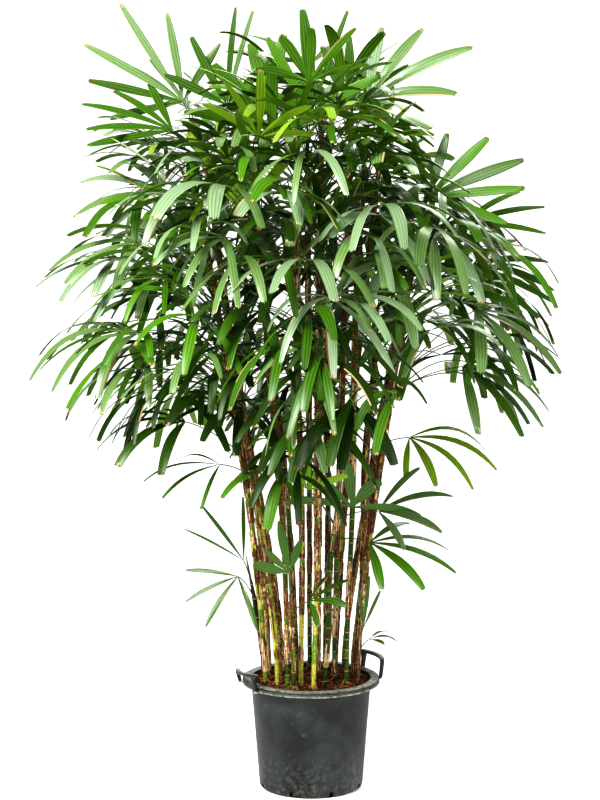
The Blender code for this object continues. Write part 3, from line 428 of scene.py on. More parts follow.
# Heights over which leaves take the painted light of the top and under which the painted shade of the low
# crown, the depth within which they take the painted shade of the inner crown, and the age from which a leaf
# counts as young
TOP_LIGHT = 1.85
LOW_SHADE = 1.45
INNER_DEPTH = 0.45
YOUNG_AGE = 0.6

# Cane meshes: sides, row spacing, and the spacing, height and half width of the leaf scars' rings
CANE_SIDES = 18
CANE_ROW = 5 * MM
SCAR_SPACING = (26 * MM, 58 * MM)
SCAR_RISE = 1.0 * MM
SCAR_HALF = 1.3 * MM

# Bark: how far old sheaths stand off, their strands' relief, the bare skin's radius as a share of the
# solid's, and how much of each kind of cane is covered, low down and high up
SHEATH_RISE = {"fibre": 2.8 * MM, "yellow": 2.0 * MM, "green": 1.8 * MM, "dark": 1.0 * MM}
STRAND_DEPTH = 1.3 * MM
BARE_SHARE = 0.84
COVERED = {"fibre": (0.80, 1.0), "yellow": (0.30, 1.0), "green": (0.08, 0.85), "dark": (0.0, 0.3)}

# Loose fibres: how many on a cane and on a leafy shaft, with their length and thickness in millimetres
CANE_FIBRES = 90
SHAFT_FIBRES = 26
FIBRE_LENGTH = (10.0, 42.0)
FIBRE_THICKNESS = (0.35, 0.85)

# Radius of a petiole at its foot and along it, and the length of the spear at a cane's tip
STALK_RADII = (3.3 * MM, 1.6 * MM)
SPEAR_LENGTH = (0.06, 0.13)

# The moulded plastic's sRGB tones
POT_TONES = {"dark": "1B1D1D", "light": "343737", "scratch": "505353", "scuff": "687070",
             "bloom": "5C6055", "dust_and_highlight": "AEB09A", "earth": "7E5334"}

# Grained materials: light and dark sRGB tone, grain's width and length in mm, roughness and relief in mm,
# then maybe spots of a tone and a size in mm from a value of noise up, and the noise between the tones,
# which is otherwise the usual balance
USUAL_BALANCE = (0.36, 0.64)
SPOT_EDGE = 0.05
GRAINS = {
    "peat_and_bark_mix": ("3E2216", "100705", 4.0, 4.0, 0.95, 1.4, ("5A3420", 9.0, 0.62)),
    "pine_bark_bits": ("6B4028", "200F08", 2.0, 2.0, 0.9, 0.4),
    "dry_roots": ("9A6C40", "4E2E18", 1.5, 6.0, 0.85, 0.2),
    "leaf_scar_ring": ("B49560", "6E5030", 2.0, 2.0, 0.7, 0.2),
    "papery_sheath": ("D0B48C", "5A3E28", 2.4, 60.0, 0.7, 0.8, ("2E1A10", 8.0, 0.60), (0.42, 0.58)),
    "brown_sheath": ("90663E", "22120A", 2.0, 50.0, 0.85, 1.0, ("150A06", 9.0, 0.62), (0.40, 0.58)),
    "matted_fibre": ("6A4A2E", "160A06", 1.6, 36.0, 0.9, 1.2, ("A88458", 5.0, 0.64), (0.40, 0.60)),
    "cane_skin_olive": ("6E6C30", "3E3016", 3.0, 30.0, 0.5, 0.2),
    "cane_skin_straw": ("9A9040", "6A4E26", 3.0, 24.0, 0.55, 0.2),
    "cane_skin_yellow": ("B4AC4C", "788028", 4.0, 36.0, 0.42, 0.15, ("6A4A26", 7.0, 0.60)),
    "cane_skin_leek": ("62842A", "3E5A18", 4.0, 36.0, 0.42, 0.15, ("9A8C40", 6.0, 0.62)),
    "cane_skin_bottle": ("2E4A16", "1C300C", 4.0, 36.0, 0.38, 0.15, ("6E6A2C", 5.0, 0.64)),
    "cane_skin_moss": ("4A6A1C", "2E4812", 4.0, 36.0, 0.42, 0.15, ("7A6A30", 6.0, 0.62)),
    "cane_skin_umber": ("3E342C", "1C1511", 3.0, 40.0, 0.6, 0.3),
    "cane_skin_soot": ("2E2621", "15100D", 3.0, 40.0, 0.6, 0.3),
}

# The two skins of each kind of cane where it's bare, and what covers every cane elsewhere
SKINS = {
    "fibre": ("cane_skin_olive", "cane_skin_straw"),
    "yellow": ("cane_skin_yellow", "cane_skin_leek"),
    "green": ("cane_skin_bottle", "cane_skin_moss"),
    "dark": ("cane_skin_umber", "cane_skin_soot"),
}
CANE_COVERS = ("leaf_scar_ring", "papery_sheath", "brown_sheath", "matted_fibre")

# Camera, from the ellipses of the rim and the foot in the photograph
CAMERA_PLACE = (-0.032, -5.6, 1.699)
CAMERA_PITCH = 5.77
CAMERA_LENS = 88.0
SENSOR_WIDTH = 36.0

# Studio: the paper floor, and the room's light, which falls from the walls to the ceiling between two heights
FLOOR_SIDE = 6.0
PAPER_WHITE = 0.97
PAPER_GLOW = 0.12
WALL_END = (0.14, 0.42)
ROOM_LIGHT = (1.0, 0.18)

# Softboxes, aimed at the middle of the plant: name, place, side and power
SOFTBOXES = (
    ("key_softbox", (-2.2, -3.2, 4.6), 2.0, 490.0),
    ("fill_softbox", (3.4, -2.6, 2.6), 2.4, 110.0),
    ("back_softbox", (1.2, 3.6, 4.2), 2.4, 130.0),
)
PLANT_MIDDLE = (0.0, 0.0, 1.3)


def linear(value):
    """One sRGB channel, 0 to 1, as linear light."""
    if value <= 0.04045:
        return value / 12.92
    return ((value + 0.055) / 1.055) ** 2.4


def tone(colour):
    """An sRGB hex colour as linear RGBA."""
    return (*[linear(int(colour[i:i + 2], 16) / 255.0) for i in (0, 2, 4)], 1.0)


def mix(pair, share):
    """The value a share of the way from the first to the second."""
    return pair[0] + (pair[1] - pair[0]) * share


def polar(radius, degrees, height):
    """The point at a radius, an azimuth and a height."""
    angle = math.radians(degrees)
    return Vector((radius * math.cos(angle), radius * math.sin(angle), height))


def aim(azimuth, elevation):
    """The unit direction at an azimuth and an elevation in degrees."""
    flat = math.cos(math.radians(elevation))
    return Vector((
        flat * math.cos(math.radians(azimuth)),
        flat * math.sin(math.radians(azimuth)),
        math.sin(math.radians(elevation)),
    ))


def square_to(vector, axis):
    """The vector's part square to an axis, as a unit vector."""
    return (vector - axis * vector.dot(axis)).normalized()


def bell(distance, width):
    """A smooth hump of height one at zero distance."""
    return math.exp(-(distance / width) ** 2)


# Materials


def add_node(tree, kind, values=None, links=None, **settings):
    """A shader node with its settings, its plain input values and its links."""
    node = tree.nodes.new(kind)
    for name, value in settings.items():
        setattr(node, name, value)
    for name, value in (values or {}).items():
        node.inputs[name].default_value = value
    for name, output in (links or {}).items():
        tree.links.new(output, node.inputs[name])
    return node


def new_material(name, roughness, **plain):
    """A material with its shader's plain values set, and its node tree and shader."""
    material = bpy.data.materials.new(name)
    material.use_nodes = True
    shader = material.node_tree.nodes["Principled BSDF"]
    shader.inputs["Roughness"].default_value = roughness
    for socket, value in plain.items():
        shader.inputs[socket.replace("_", " ")].default_value = value
    return material, material.node_tree, shader


def add_noise(tree, place, scale, detail, roughness=0.5, squeeze=None):
    """The value of a noise over a place, which may first be squeezed along each axis."""
    if squeeze:
        place = add_node(tree, "ShaderNodeMapping", {"Scale": squeeze}, {"Vector": place}).outputs["Vector"]
    node = add_node(tree, "ShaderNodeTexNoise", {"Scale": scale, "Detail": detail, "Roughness": roughness},
                    {"Vector": place})
    return node.outputs["Fac"]


def ramp(tree, value, first, last, low=0.0, high=1.0):
    """A value stretched so that it goes from low to high between two of its values."""
    node = add_node(tree, "ShaderNodeMapRange",
                    {"From Min": first, "From Max": last, "To Min": low, "To Max": high}, {"Value": value})
    return node.outputs["Result"]


def blend(tree, lower, upper, mask):
    """An upper tone laid over a lower one, or over a node's colour, where a mask says."""
    node = add_node(tree, "ShaderNodeMix", {7: tone(upper)}, {0: mask}, data_type="RGBA")
    if isinstance(lower, str):
        node.inputs[6].default_value = tone(lower)
    else:
        tree.links.new(lower, node.inputs[6])
    return node.outputs[2]


def add_relief(tree, shader, height, strength, depth):
    """Fine relief on a shader's surface."""
    node = add_node(tree, "ShaderNodeBump", {"Strength": strength, "Distance": depth}, {"Height": height})
    tree.links.new(node.outputs["Normal"], shader.inputs["Normal"])


def grained(name):
    """A material of two tones in grains of a real width and length, with fine relief and maybe spots."""
    light, dark, grain_mm, length_mm, roughness, relief_mm, *more = GRAINS[name]
    material, tree, shader = new_material(name, roughness, Specular_IOR_Level=0.15)
    place = add_node(tree, "ShaderNodeTexCoord").outputs["Object"]
    across, along = 1 / (grain_mm * MM), 1 / (length_mm * MM)
    grain = add_noise(tree, place, 1.0, 5.0, 0.62, (across, across, along))
    balance = more[1] if len(more) > 1 else USUAL_BALANCE
    colour = blend(tree, light, dark, ramp(tree, grain, *balance))
    if more:
        spot_tone, spot_mm, least = more[0]
        patch = add_noise(tree, place, 1 / (spot_mm * MM), 2.0)
        colour = blend(tree, colour, spot_tone, ramp(tree, patch, least, least + SPOT_EDGE))
    tree.links.new(colour, shader.inputs["Base Color"])
    add_relief(tree, shader, grain, 1.0, relief_mm * MM)
    return material


def leaf_material(name, colour, gloss, roughness):
    """Living leaf skin: one plain green under wax, with the fine relief of its veins."""
    material, tree, shader = new_material(name, roughness, Specular_IOR_Level=gloss)
    shader.inputs["Base Color"].default_value = tone(colour)
    place = add_node(tree, "ShaderNodeTexCoord").outputs["Object"]
    add_relief(tree, shader, add_noise(tree, place, 1 / VEIN_SIZE, 2.0), 0.3, VEIN_DEPTH)
    return material


def pot_material(name, dust_and_highlight_amount):
    """Moulded polypropylene: matt charcoal, clouded by bloom and rubs, paler above with dust and a painted
    highlight, and earthy below.
    """
    material, tree, shader = new_material(name, 0.5, Specular_IOR_Level=0.22)
    place = add_node(tree, "ShaderNodeTexCoord").outputs["Object"]
    height = add_node(tree, "ShaderNodeSeparateXYZ", None, {"Vector": place}).outputs["Z"]
    normal = add_node(tree, "ShaderNodeNewGeometry").outputs["Normal"]
    upward = add_node(tree, "ShaderNodeSeparateXYZ", None, {"Vector": normal}).outputs["Z"]

    def clouds(scale, detail, squeeze=None):
        """A rough noise over the surface."""
        return add_noise(tree, place, scale, detail, 0.65, squeeze)

    def combine(first, second, operation="MULTIPLY"):
        """Two masks as one."""
        return add_node(tree, "ShaderNodeMath", None, {0: first, 1: second}, operation=operation).outputs[0]

    def over_height(least):
        """A mask of what lies over a height."""
        return add_node(tree, "ShaderNodeMath", {1: least}, {0: height}, operation="GREATER_THAN").outputs[0]

    haze = clouds(7.0, 6.0)
    colour = blend(tree, POT_TONES["dark"], POT_TONES["light"], ramp(tree, haze, 0.42, 0.70))
    # Rub marks: fine scratches that run down the wall, and short scuffs across it
    scratch = ramp(tree, clouds(1.0, 5.0, (150.0, 150.0, 9.0)), 0.63, 0.80, high=0.5)
    colour = blend(tree, colour, POT_TONES["scratch"], scratch)
    scuff = ramp(tree, clouds(1.0, 6.0, (34.0, 34.0, 50.0)), 0.62, 0.80, high=0.4)
    colour = blend(tree, colour, POT_TONES["scuff"], scuff)
    # Bloom: pale greenish lime stains low on the wall
    stain = ramp(tree, clouds(60.0, 6.0), 0.48, 0.72, high=0.75)
    colour = blend(tree, colour, POT_TONES["bloom"], combine(stain, ramp(tree, height, 0.15, 0.015)))
    # Pale dust lies along the skirt's lower edge and on the rim's upward faces, where the pale tone also
    # stands in for a painted highlight
    skirt = ramp(tree, height, POT_HEIGHT - 10 * MM, POT_HEIGHT - 15 * MM)
    lower_edge = combine(skirt, over_height(POT_HEIGHT - 20 * MM))
    ledge = combine(ramp(tree, upward, 0.35, 0.95, high=0.7), over_height(POT_HEIGHT - 12 * MM))
    grit = clouds(85.0, 6.0)
    dust_and_highlight = ramp(tree, grit, 0.34, 0.62, high=dust_and_highlight_amount)
    colour = blend(tree, colour, POT_TONES["dust_and_highlight"], combine(combine(lower_edge, ledge, "MAXIMUM"), dust_and_highlight))
    # Orange brown specks of dried earth splash up from the foot and lie here and there on the rim
    speck = ramp(tree, clouds(150.0, 2.0), 0.66, 0.72, high=0.75)
    patch = ramp(tree, clouds(9.0, 2.0), 0.50, 0.60)
    splashed = combine(ramp(tree, height, 0.07, 0.0), combine(ledge, patch), "MAXIMUM")
    colour = blend(tree, colour, POT_TONES["earth"], combine(splashed, speck))
    tree.links.new(colour, shader.inputs["Base Color"])
    tree.links.new(ramp(tree, haze, 0.0, 1.0, 0.38, 0.62), shader.inputs["Roughness"])
    add_relief(tree, shader, grit, 0.5, 0.4 * MM)
    return material


# Meshes of many small shapes


def ring_faces(rings, sides):
    """The faces of a tube of rings of corners, closed at both ends."""
    faces = []
    for i in range(rings - 1):
        for k in range(sides):
            a, b = i * sides + k, i * sides + (k + 1) % sides
            faces.append((a, b, b + sides, a + sides))
    faces.append(tuple(reversed(range(sides))))
    faces.append(tuple(range((rings - 1) * sides, rings * sides)))
    return faces


class Maker:
    """Collects the corners, faces and material slots of many small shapes for one mesh."""

    def __init__(self):
        self.points = []
        self.faces = []
        self.slots = []

    def add(self, points, faces, slots):
        """One more shape."""
        start = len(self.points)
        self.points.extend(points)
        self.faces.extend(tuple(start + corner for corner in face) for face in faces)
        self.slots.extend(slots)

    def tube(self, points, radii, sides, slot):
        """A tube closed at both ends, turned as little as possible along its way."""
        corners = []
        side = Vector((1.0, 0.0, 0.0))
        for i, point in enumerate(points):
            along = points[min(i + 1, len(points) - 1)] - points[max(i - 1, 0)]
            along.normalize()
            if abs(side.dot(along)) > 0.95:
                side = Vector((0.0, 1.0, 0.0))
            side = square_to(side, along)
            front = along.cross(side)
            for k in range(sides):
                angle = 2 * math.pi * k / sides
                corners.append(point + (side * math.cos(angle) + front * math.sin(angle)) * radii[i])
        faces = ring_faces(len(points), sides)
        self.add(corners, faces, [slot] * len(faces))

    def finish(self, name, materials, sharp=50.0):
        """The mesh as an object that rides on the plant's one body."""
        mesh = bpy.data.meshes.new(name)
        mesh.from_pydata([tuple(point) for point in self.points], [], self.faces)
        for material in materials:
            mesh.materials.append(material)
        mesh.polygons.foreach_set("material_index", self.slots)
        mesh.polygons.foreach_set("use_smooth", [True] * len(self.faces))
        mesh.set_sharp_from_angle(angle=math.radians(sharp))
        mesh.update()
        item = bpy.data.objects.new(name, mesh)
        bpy.context.scene.collection.objects.link(item)
        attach(item, "root")
        return item


# Pot, handles and soil, modelled by hand


def deselect():
    """Leave nothing selected."""
    for item in bpy.context.selected_objects:
        item.select_set(False)


def pick(item):
    """Select one item alone and make it the active one."""
    deselect()
    item.select_set(True)
    bpy.context.view_layer.objects.active = item


def end_edit():
    """Turn all faces of the edited mesh outward and leave edit mode."""
    bpy.ops.mesh.select_all(action="SELECT")
    bpy.ops.mesh.normals_make_consistent(inside=False)
    bpy.ops.object.mode_set(mode="OBJECT")


def turned(name, profile, sides):
    """A body of revolution, drawn ring by ring from a profile of (radius, height) points and closed."""
    deselect()
    radius, height = profile[0]
    bpy.ops.mesh.primitive_circle_add(vertices=sides, radius=radius, location=(0.0, 0.0, height))
    item = bpy.context.object
    item.name = name
    bpy.ops.object.transform_apply()
    bpy.ops.object.mode_set(mode="EDIT")
    bpy.ops.mesh.select_all(action="SELECT")
    bpy.ops.mesh.edge_face_add()
    bpy.ops.mesh.select_all(action="SELECT")
    for (last_radius, last_height), (radius, height) in zip(profile, profile[1:]):
        bpy.ops.mesh.extrude_region_move(TRANSFORM_OT_translate={"value": (0.0, 0.0, height - last_height)})
        share = radius / last_radius
        bpy.ops.transform.resize(value=(share, share, 1.0), center_override=(0.0, 0.0, height))
    end_edit()
    return item


def dress(item, node, materials):
    """Give a hand modelled piece its smooth shading, materials and body, and hide its CAD node."""
    pick(item)
    bpy.ops.object.shade_smooth_by_angle(angle=math.radians(35.0))
    item.data.materials.clear()
    for material in materials:
        item.data.materials.append(material)
    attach(item, "root")
    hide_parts(node)


def inner_radius(height):
    """The pot's inner radius at a height."""
    share = (height - FLOOR) / (POT_HEIGHT - RIM_SKIRT - FLOOR)
    return BASE_RADIUS - WALL + (BODY_TOP_RADIUS - BASE_RADIUS) * share


def quarter(centre_radius, centre_height, size, first, last, steps):
    """Points of an arc in the profile's plane, between two angles in degrees."""
    points = []
    for i in range(steps + 1):
        angle = math.radians(mix((first, last), i / steps))
        points.append((centre_radius + size * math.cos(angle), centre_height + size * math.sin(angle)))
    return points


def pot_profile():
    """The pot's section from the middle of its floor, up inside, over the rim and down outside."""
    skirt_foot = POT_HEIGHT - RIM_SKIRT
    profile = [(inner_radius(FLOOR) - BASE_CORNER, FLOOR)]
    profile.append((inner_radius(FLOOR + BASE_CORNER), FLOOR + BASE_CORNER))
    profile.append((inner_radius(skirt_foot), skirt_foot))
    profile += quarter(RIM_INNER_RADIUS + LIP_ROUND, POT_HEIGHT - LIP_ROUND, LIP_ROUND, 180.0, 100.0, 4)
    profile.append((RIM_INNER_RADIUS + 12 * MM, POT_HEIGHT - 0.6 * MM))
    profile += quarter(RIM_RADIUS - RIM_ROUND, POT_HEIGHT - RIM_ROUND, RIM_ROUND, 88.0, 4.0, 5)
    for out, down in RIM_GROOVE:
        profile.append((RIM_RADIUS + out * MM, POT_HEIGHT - down * MM))
    profile.append((RIM_RADIUS + 0.4 * MM, skirt_foot + 1.0 * MM))
    profile.append((RIM_RADIUS - 0.6 * MM, skirt_foot))
    profile.append((RIM_RADIUS - WALL, skirt_foot + 0.3 * MM))
    profile.append((RIM_RADIUS - WALL, POT_HEIGHT - WALL))
    profile.append((BODY_TOP_RADIUS + WALL, POT_HEIGHT - WALL))
    profile.append((BODY_TOP_RADIUS, skirt_foot))
    wall_steps = 6
    for i in range(1, wall_steps):
        share = i / wall_steps
        profile.append((mix((BODY_TOP_RADIUS, BASE_RADIUS), share), mix((skirt_foot, BASE_CORNER), share)))
    profile += quarter(BASE_RADIUS - BASE_CORNER, BASE_CORNER, BASE_CORNER, 0.0, -90.0, 5)
    return profile


def model_pot(materials):
    """The pot's shell with its drain slots cut through the foot."""
    pot = turned("nursery_pot", pot_profile(), POT_SIDES)
    skirt_foot = POT_HEIGHT - RIM_SKIRT
    for corner in pot.data.vertices:
        away = math.hypot(corner.co.x, corner.co.y)
        wave = noise.noise(corner.co * WAVE_FINENESS)
        if away > RIM_RADIUS - WALL - MM and corner.co.z < skirt_foot + 2 * MM:
            # The skirt's lower edge is uneven, as it left the mould
            corner.co.z += EDGE_ROUGH * noise.noise(corner.co * EDGE_FINENESS) + EDGE_WAVE * wave
        else:
            swell = 1.0 + WALL_WAVE * wave / max(away, BASE_RADIUS / 2)
            corner.co.x *= swell
            corner.co.y *= swell
    for i in range(DRAIN_SLOTS):
        azimuth = 360.0 * (i + 0.5) / DRAIN_SLOTS
        place = polar(BASE_RADIUS - WALL, azimuth, DRAIN_SLOT_SIZE[2] * 0.62)
        deselect()
        bpy.ops.mesh.primitive_cube_add(size=1.0, location=place, rotation=(0.0, 0.0, math.radians(azimuth)))
        cutter = bpy.context.object
        cutter.scale = DRAIN_SLOT_SIZE
        bpy.ops.object.transform_apply()
        cut = pot.modifiers.new("Drain slot", "BOOLEAN")
        cut.operation = "DIFFERENCE"
        cut.object = cutter
        pick(pot)
        bpy.ops.object.modifier_apply(modifier=cut.name)
        bpy.data.objects.remove(cutter, do_unlink=True)
    dress(pot, "pot", materials)


def strap(name, sections):
    """A closed strap drawn section by section: (centre, azimuth it faces, depth, height)."""
    rings = []
    for centre, azimuth, depth, height in sections:
        out = aim(azimuth, 0.0) * depth / 2
        up = UP * height / 2
        rings.append([centre - out - up, centre + out - up, centre + out + up, centre - out + up])
    deselect()
    bpy.ops.mesh.primitive_plane_add(size=1.0)
    item = bpy.context.object
    item.name = name
    bpy.ops.object.mode_set(mode="EDIT")
    edit = bmesh.from_edit_mesh(item.data)
    edit.verts.ensure_lookup_table()
    ring = [edit.verts[i] for i in (0, 1, 3, 2)]
    for corner, place in zip(ring, rings[0]):
        corner.co = place
    bmesh.update_edit_mesh(item.data)
    bpy.ops.mesh.select_all(action="SELECT")
    for last, places in zip(rings, rings[1:]):
        step = (places[0] - last[0]).copy()
        bpy.ops.mesh.extrude_region_move(TRANSFORM_OT_translate={"value": step})
        edit = bmesh.from_edit_mesh(item.data)
        for corner in [corner for corner in edit.verts if corner.select]:
            nearest = min(range(4), key=lambda k: (last[k] + step - corner.co).length)
            corner.co = places[nearest]
        bmesh.update_edit_mesh(item.data)
    end_edit()
    return item


def post(name, sections):
    """An upright strap from level sections: (centre, azimuth it faces, depth, breadth)."""
    deselect()
    centre, facing, depth, breadth = sections[0]
    bpy.ops.mesh.primitive_plane_add(size=1.0, location=centre, rotation=(0.0, 0.0, math.radians(facing)))
    item = bpy.context.object
    item.name = name
    item.scale = (depth, breadth, 1.0)
    bpy.ops.object.transform_apply()
    out = aim(facing, 0.0)
    side = Vector((-out.y, out.x, 0.0))
    bpy.ops.object.mode_set(mode="EDIT")
    bpy.ops.mesh.select_all(action="SELECT")
    for (last, _, last_depth, last_breadth), (centre, _, depth, breadth) in zip(sections, sections[1:]):
        bpy.ops.mesh.extrude_region_move(TRANSFORM_OT_translate={"value": centre - last})
        edit = bmesh.from_edit_mesh(item.data)
        for corner in [corner for corner in edit.verts if corner.select]:
            away = corner.co - centre
            wider = side * away.dot(side) * (breadth / last_breadth - 1.0)
            corner.co += wider + out * away.dot(out) * (depth / last_depth - 1.0)
        bmesh.update_edit_mesh(item.data)
    end_edit()
    return item


def soften(item, width, segments):
    """Round an item's edges and apply it."""
    pick(item)
    bevel = item.modifiers.new("Rounded edges", "BEVEL")
    bevel.width = width
    bevel.segments = segments
    bevel.limit_method = "ANGLE"
    bevel.angle_limit = math.radians(40.0)
    bpy.ops.object.modifier_apply(modifier=bevel.name)


def model_handle(name, azimuth, rise, lean, foot_drop, foot_radius, materials):
    """One carrying handle: a flat curved bar with flared ends on two tapering posts."""
    bar_radius = RIM_RADIUS + HANDLE_THICKNESS / 2 + lean
    # Degrees along the bar with its relative size, which shrinks into an ear beyond each post
    bar = (
        (-HANDLE_EAR, 0.30), (-HANDLE_EAR * 0.5, 0.8), (0.0, 1.0), (6.0, 0.95), (12.0, 0.92),
        (HANDLE_SPAN / 2, 0.9),
        (HANDLE_SPAN - 12.0, 0.92), (HANDLE_SPAN - 6.0, 0.95), (HANDLE_SPAN, 1.0),
        (HANDLE_SPAN + HANDLE_EAR * 0.5, 0.8), (HANDLE_SPAN + HANDLE_EAR, 0.30),
    )
    top = []
    for degrees, share in bar:
        facing = azimuth + degrees
        height = POT_HEIGHT + mix(rise, degrees / HANDLE_SPAN)
        depth, thickness = HANDLE_BAR_DEPTH * share, HANDLE_SLAB * (0.55 + 0.45 * share)
        top.append((polar(bar_radius, facing, height), facing, depth, thickness))
    pieces = [strap(name + "_bar", top)]
    for degrees, lift in ((0.0, rise[0]), (HANDLE_SPAN, rise[1])):
        facing = azimuth + degrees
        bar_height = POT_HEIGHT + lift
        # Height of each level up the post with its radius, then breadth and depth in millimetres
        levels = (
            (POT_HEIGHT - foot_drop, foot_radius, 13.0, 9.0),
            (POT_HEIGHT - foot_drop * 0.2, mix((foot_radius, bar_radius), 0.5), 12.0, 10.5),
            (POT_HEIGHT + lift * 0.4, mix((foot_radius, bar_radius), 0.8), 11.0, 11.0),
            (bar_height - HANDLE_SLAB, bar_radius, 14.0, 12.0),
            (bar_height - HANDLE_SLAB * 0.3, bar_radius, 24.0, 12.5),
        )
        sections = []
        for height, radius, breadth, depth in levels:
            sections.append((polar(radius, facing, height), facing, depth * MM, breadth * MM))
        pieces.append(post(name + "_post", sections))
    for piece in pieces:
        soften(piece, HANDLE_EDGE, 2)
    deselect()
    for piece in pieces:
        piece.select_set(True)
    bpy.context.view_layer.objects.active = pieces[0]
    bpy.ops.object.join()
    dress(pieces[0], name, materials)
    pieces[0].name = "carrying_" + name


def soil_height(x, y):
    """The height of the crumbled soil, heaped a little round the canes' feet."""
    place = Vector((x, y, 0.0))
    rough = sum(depth * noise.noise(place * fineness) for depth, fineness in SOIL_ROUGH)
    heap = 0.0
    for cane in CANES:
        heap = max(heap, HEAP_HEIGHT * bell(math.hypot(x - cane[1], y - cane[2]), HEAP_WIDTH))
    return SOIL_TOP - SOIL_DIP + rough + heap


def model_soil(materials):
    """The potting mix as a plug with a crumbled top."""
    lip = inner_radius(POT_HEIGHT - RIM_SKIRT) - 2 * SEAT_GAP
    low = FLOOR + BASE_CORNER
    profile = [(inner_radius(FLOOR) - BASE_CORNER - 2 * SEAT_GAP, FLOOR + SEAT_GAP)]
    profile.append((inner_radius(low) - 2 * SEAT_GAP, low))
    profile.append((lip, POT_HEIGHT - RIM_SKIRT))
    for i in range(SOIL_RINGS):
        profile.append((lip * (1.0 - i / SOIL_RINGS), SOIL_TOP))
    soil = turned("potting_mix", profile, POT_SIDES)
    for corner in soil.data.vertices:
        if corner.co.z > SOIL_TOP - MM:
            corner.co.z = soil_height(corner.co.x, corner.co.y)
    dress(soil, "soil", materials)


def model_soil_litter(materials):
    """Bark bits, crumbs and short roots that lie on the soil, and the canes' prop roots."""
    chance = random.Random(CLUMP_SEED + 50)
    litter = Maker()
    for _ in range(SOIL_BITS):
        away = SOIL_REACH * math.sqrt(chance.random())
        spot = polar(away, chance.uniform(0.0, 360.0), 0.0)
        spot.z = soil_height(spot.x, spot.y) + 0.6 * MM
        size = chance.uniform(*BIT_SIZE) * MM
        turn = aim(chance.uniform(0.0, 360.0), chance.uniform(-25.0, 25.0))
        side = square_to(Vector((-turn.y, turn.x, 0.1)), turn)
        rise = turn.cross(side)
        long, wide, tall = size, size * chance.uniform(0.4, 0.8), size * chance.uniform(0.25, 0.5)
        points = [spot + turn * long, spot - turn * long, spot + side * wide, spot - side * wide,
                  spot + rise * tall, spot - rise * tall]
        faces = [(0, 2, 4), (2, 1, 4), (1, 3, 4), (3, 0, 4), (2, 0, 5), (1, 2, 5), (3, 1, 5), (0, 3, 5)]
        litter.add(points, faces, [chance.choice((0, 0, 0, 1, 2))] * len(faces))
    for _ in range(SOIL_ROOTS):
        away = ROOT_REACH * math.sqrt(chance.random())
        point = polar(away, chance.uniform(0.0, 360.0), 0.0)
        heading = chance.uniform(0.0, 360.0)
        length = chance.uniform(*ROOT_LENGTH) * MM
        steps = 6
        route = []
        lift = chance.uniform(0.0, 5.0) * MM
        for i in range(steps + 1):
            point.z = soil_height(point.x, point.y) + 0.5 * MM + lift * math.sin(math.pi * i / steps)
            route.append(point.copy())
            heading += chance.uniform(-35.0, 35.0)
            point = point + aim(heading, 0.0) * length / steps
            if math.hypot(point.x, point.y) > SOIL_REACH:
                break
        if len(route) > 2:
            thick = chance.uniform(*ROOT_THICKNESS) * MM
            litter.tube(route, [thick] * len(route), 4, chance.choice((1, 2, 2)))
    for index in range(len(CANES)):
        for _ in range(STILT_ROOTS):
            heading = chance.uniform(0.0, 360.0)
            start = cane_point(index, 0.0) + UP * chance.uniform(*STILT_START) * MM
            length = chance.uniform(*STILT_LENGTH) * MM
            end = start + aim(heading, 0.0) * length
            end.z = soil_height(end.x, end.y) - MM
            if math.hypot(end.x, end.y) < SOIL_REACH:
                middle = start.lerp(end, 0.55) + UP * chance.uniform(2.0, 5.0) * MM
                litter.tube([start, middle, end], [1.9 * MM, 1.7 * MM, 1.2 * MM], 6, 2)
    item = litter.finish("soil_litter", materials, sharp=30.0)


# Canes


def cane_point(index, share):
    """The point of a cane's axis at a share of its height."""
    _, foot_x, foot_y, head_x, head_y, head_z, _, _ = CANES[index]
    low = SOIL_TOP + SEAT_GAP
    height = low + (head_z - low) * share
    rise = max(0.0, height - low - CANE_COLLAR) / (head_z - low - CANE_COLLAR)
    lean = rise ** CANE_LEAN_POWER
    phase = index * math.radians(GOLDEN_ANGLE)
    sway = CANE_SWAY * math.sin(math.pi * rise) * math.sin(2.2 * math.pi * rise + phase)
    return Vector((
        foot_x + (head_x - foot_x) * lean + sway * math.cos(phase),
        foot_y + (head_y - foot_y) * lean + sway * math.sin(phase),
        height,
    ))


def cane_share(index, height):
    """The share of a cane's height that lies at a height."""
    low = SOIL_TOP + SEAT_GAP
    return (height - low) / (CANES[index][5] - low)


def cut_share(index):
    """The share of a cane's height where its bare stem ends and its leafy shaft starts."""
    return cane_share(index, CANES[index][5] - CANES[index][7])


def cut_frame(index):
    """The point and the direction of the cut between bare stem and leafy shaft."""
    share = cut_share(index)
    step = 0.01
    along = cane_point(index, share + step) - cane_point(index, share - step)
    return cane_point(index, share), along.normalized()


def cane_route(index):
    """Points and relative radii of the bare stem, from its flat foot to its cut."""
    low = SOIL_TOP + SEAT_GAP
    point, along = cut_frame(index)
    shares = [0.0, CANE_COLLAR / (CANES[index][5] - low)]
    shares += [cut_share(index) * (i + 1) / (CANE_STEPS + 1) for i in range(CANE_STEPS)]
    shares = [share for share in shares if share < cut_share(index) - 0.03]
    route = [cane_point(index, share) for share in shares]
    radii = [mix((CANE_BASE_RADIUS, CANE_TOP_RADIUS), share / cut_share(index)) for share in shares]
    route += [point - along * CUT_STRAIGHT, point - along * SEAT_GAP / 2]
    radii += [CANE_TOP_RADIUS, CANE_TOP_RADIUS]
    return route, radii


def shaft_route(index):
    """Points and relative radii of the leafy shaft, from the cut to the cane's head."""
    point, along = cut_frame(index)
    start = cut_share(index)
    route = [point + along * SEAT_GAP / 2, point + along * CUT_STRAIGHT]
    radii = [CANE_TOP_RADIUS, CANE_TOP_RADIUS]
    for i in range(1, SHAFT_STEPS + 1):
        share = i / SHAFT_STEPS
        route.append(cane_point(index, start + (1.0 - start) * share))
        radii.append(mix((CANE_TOP_RADIUS, SHAFT_TIP_RADIUS), share))
    return route, radii


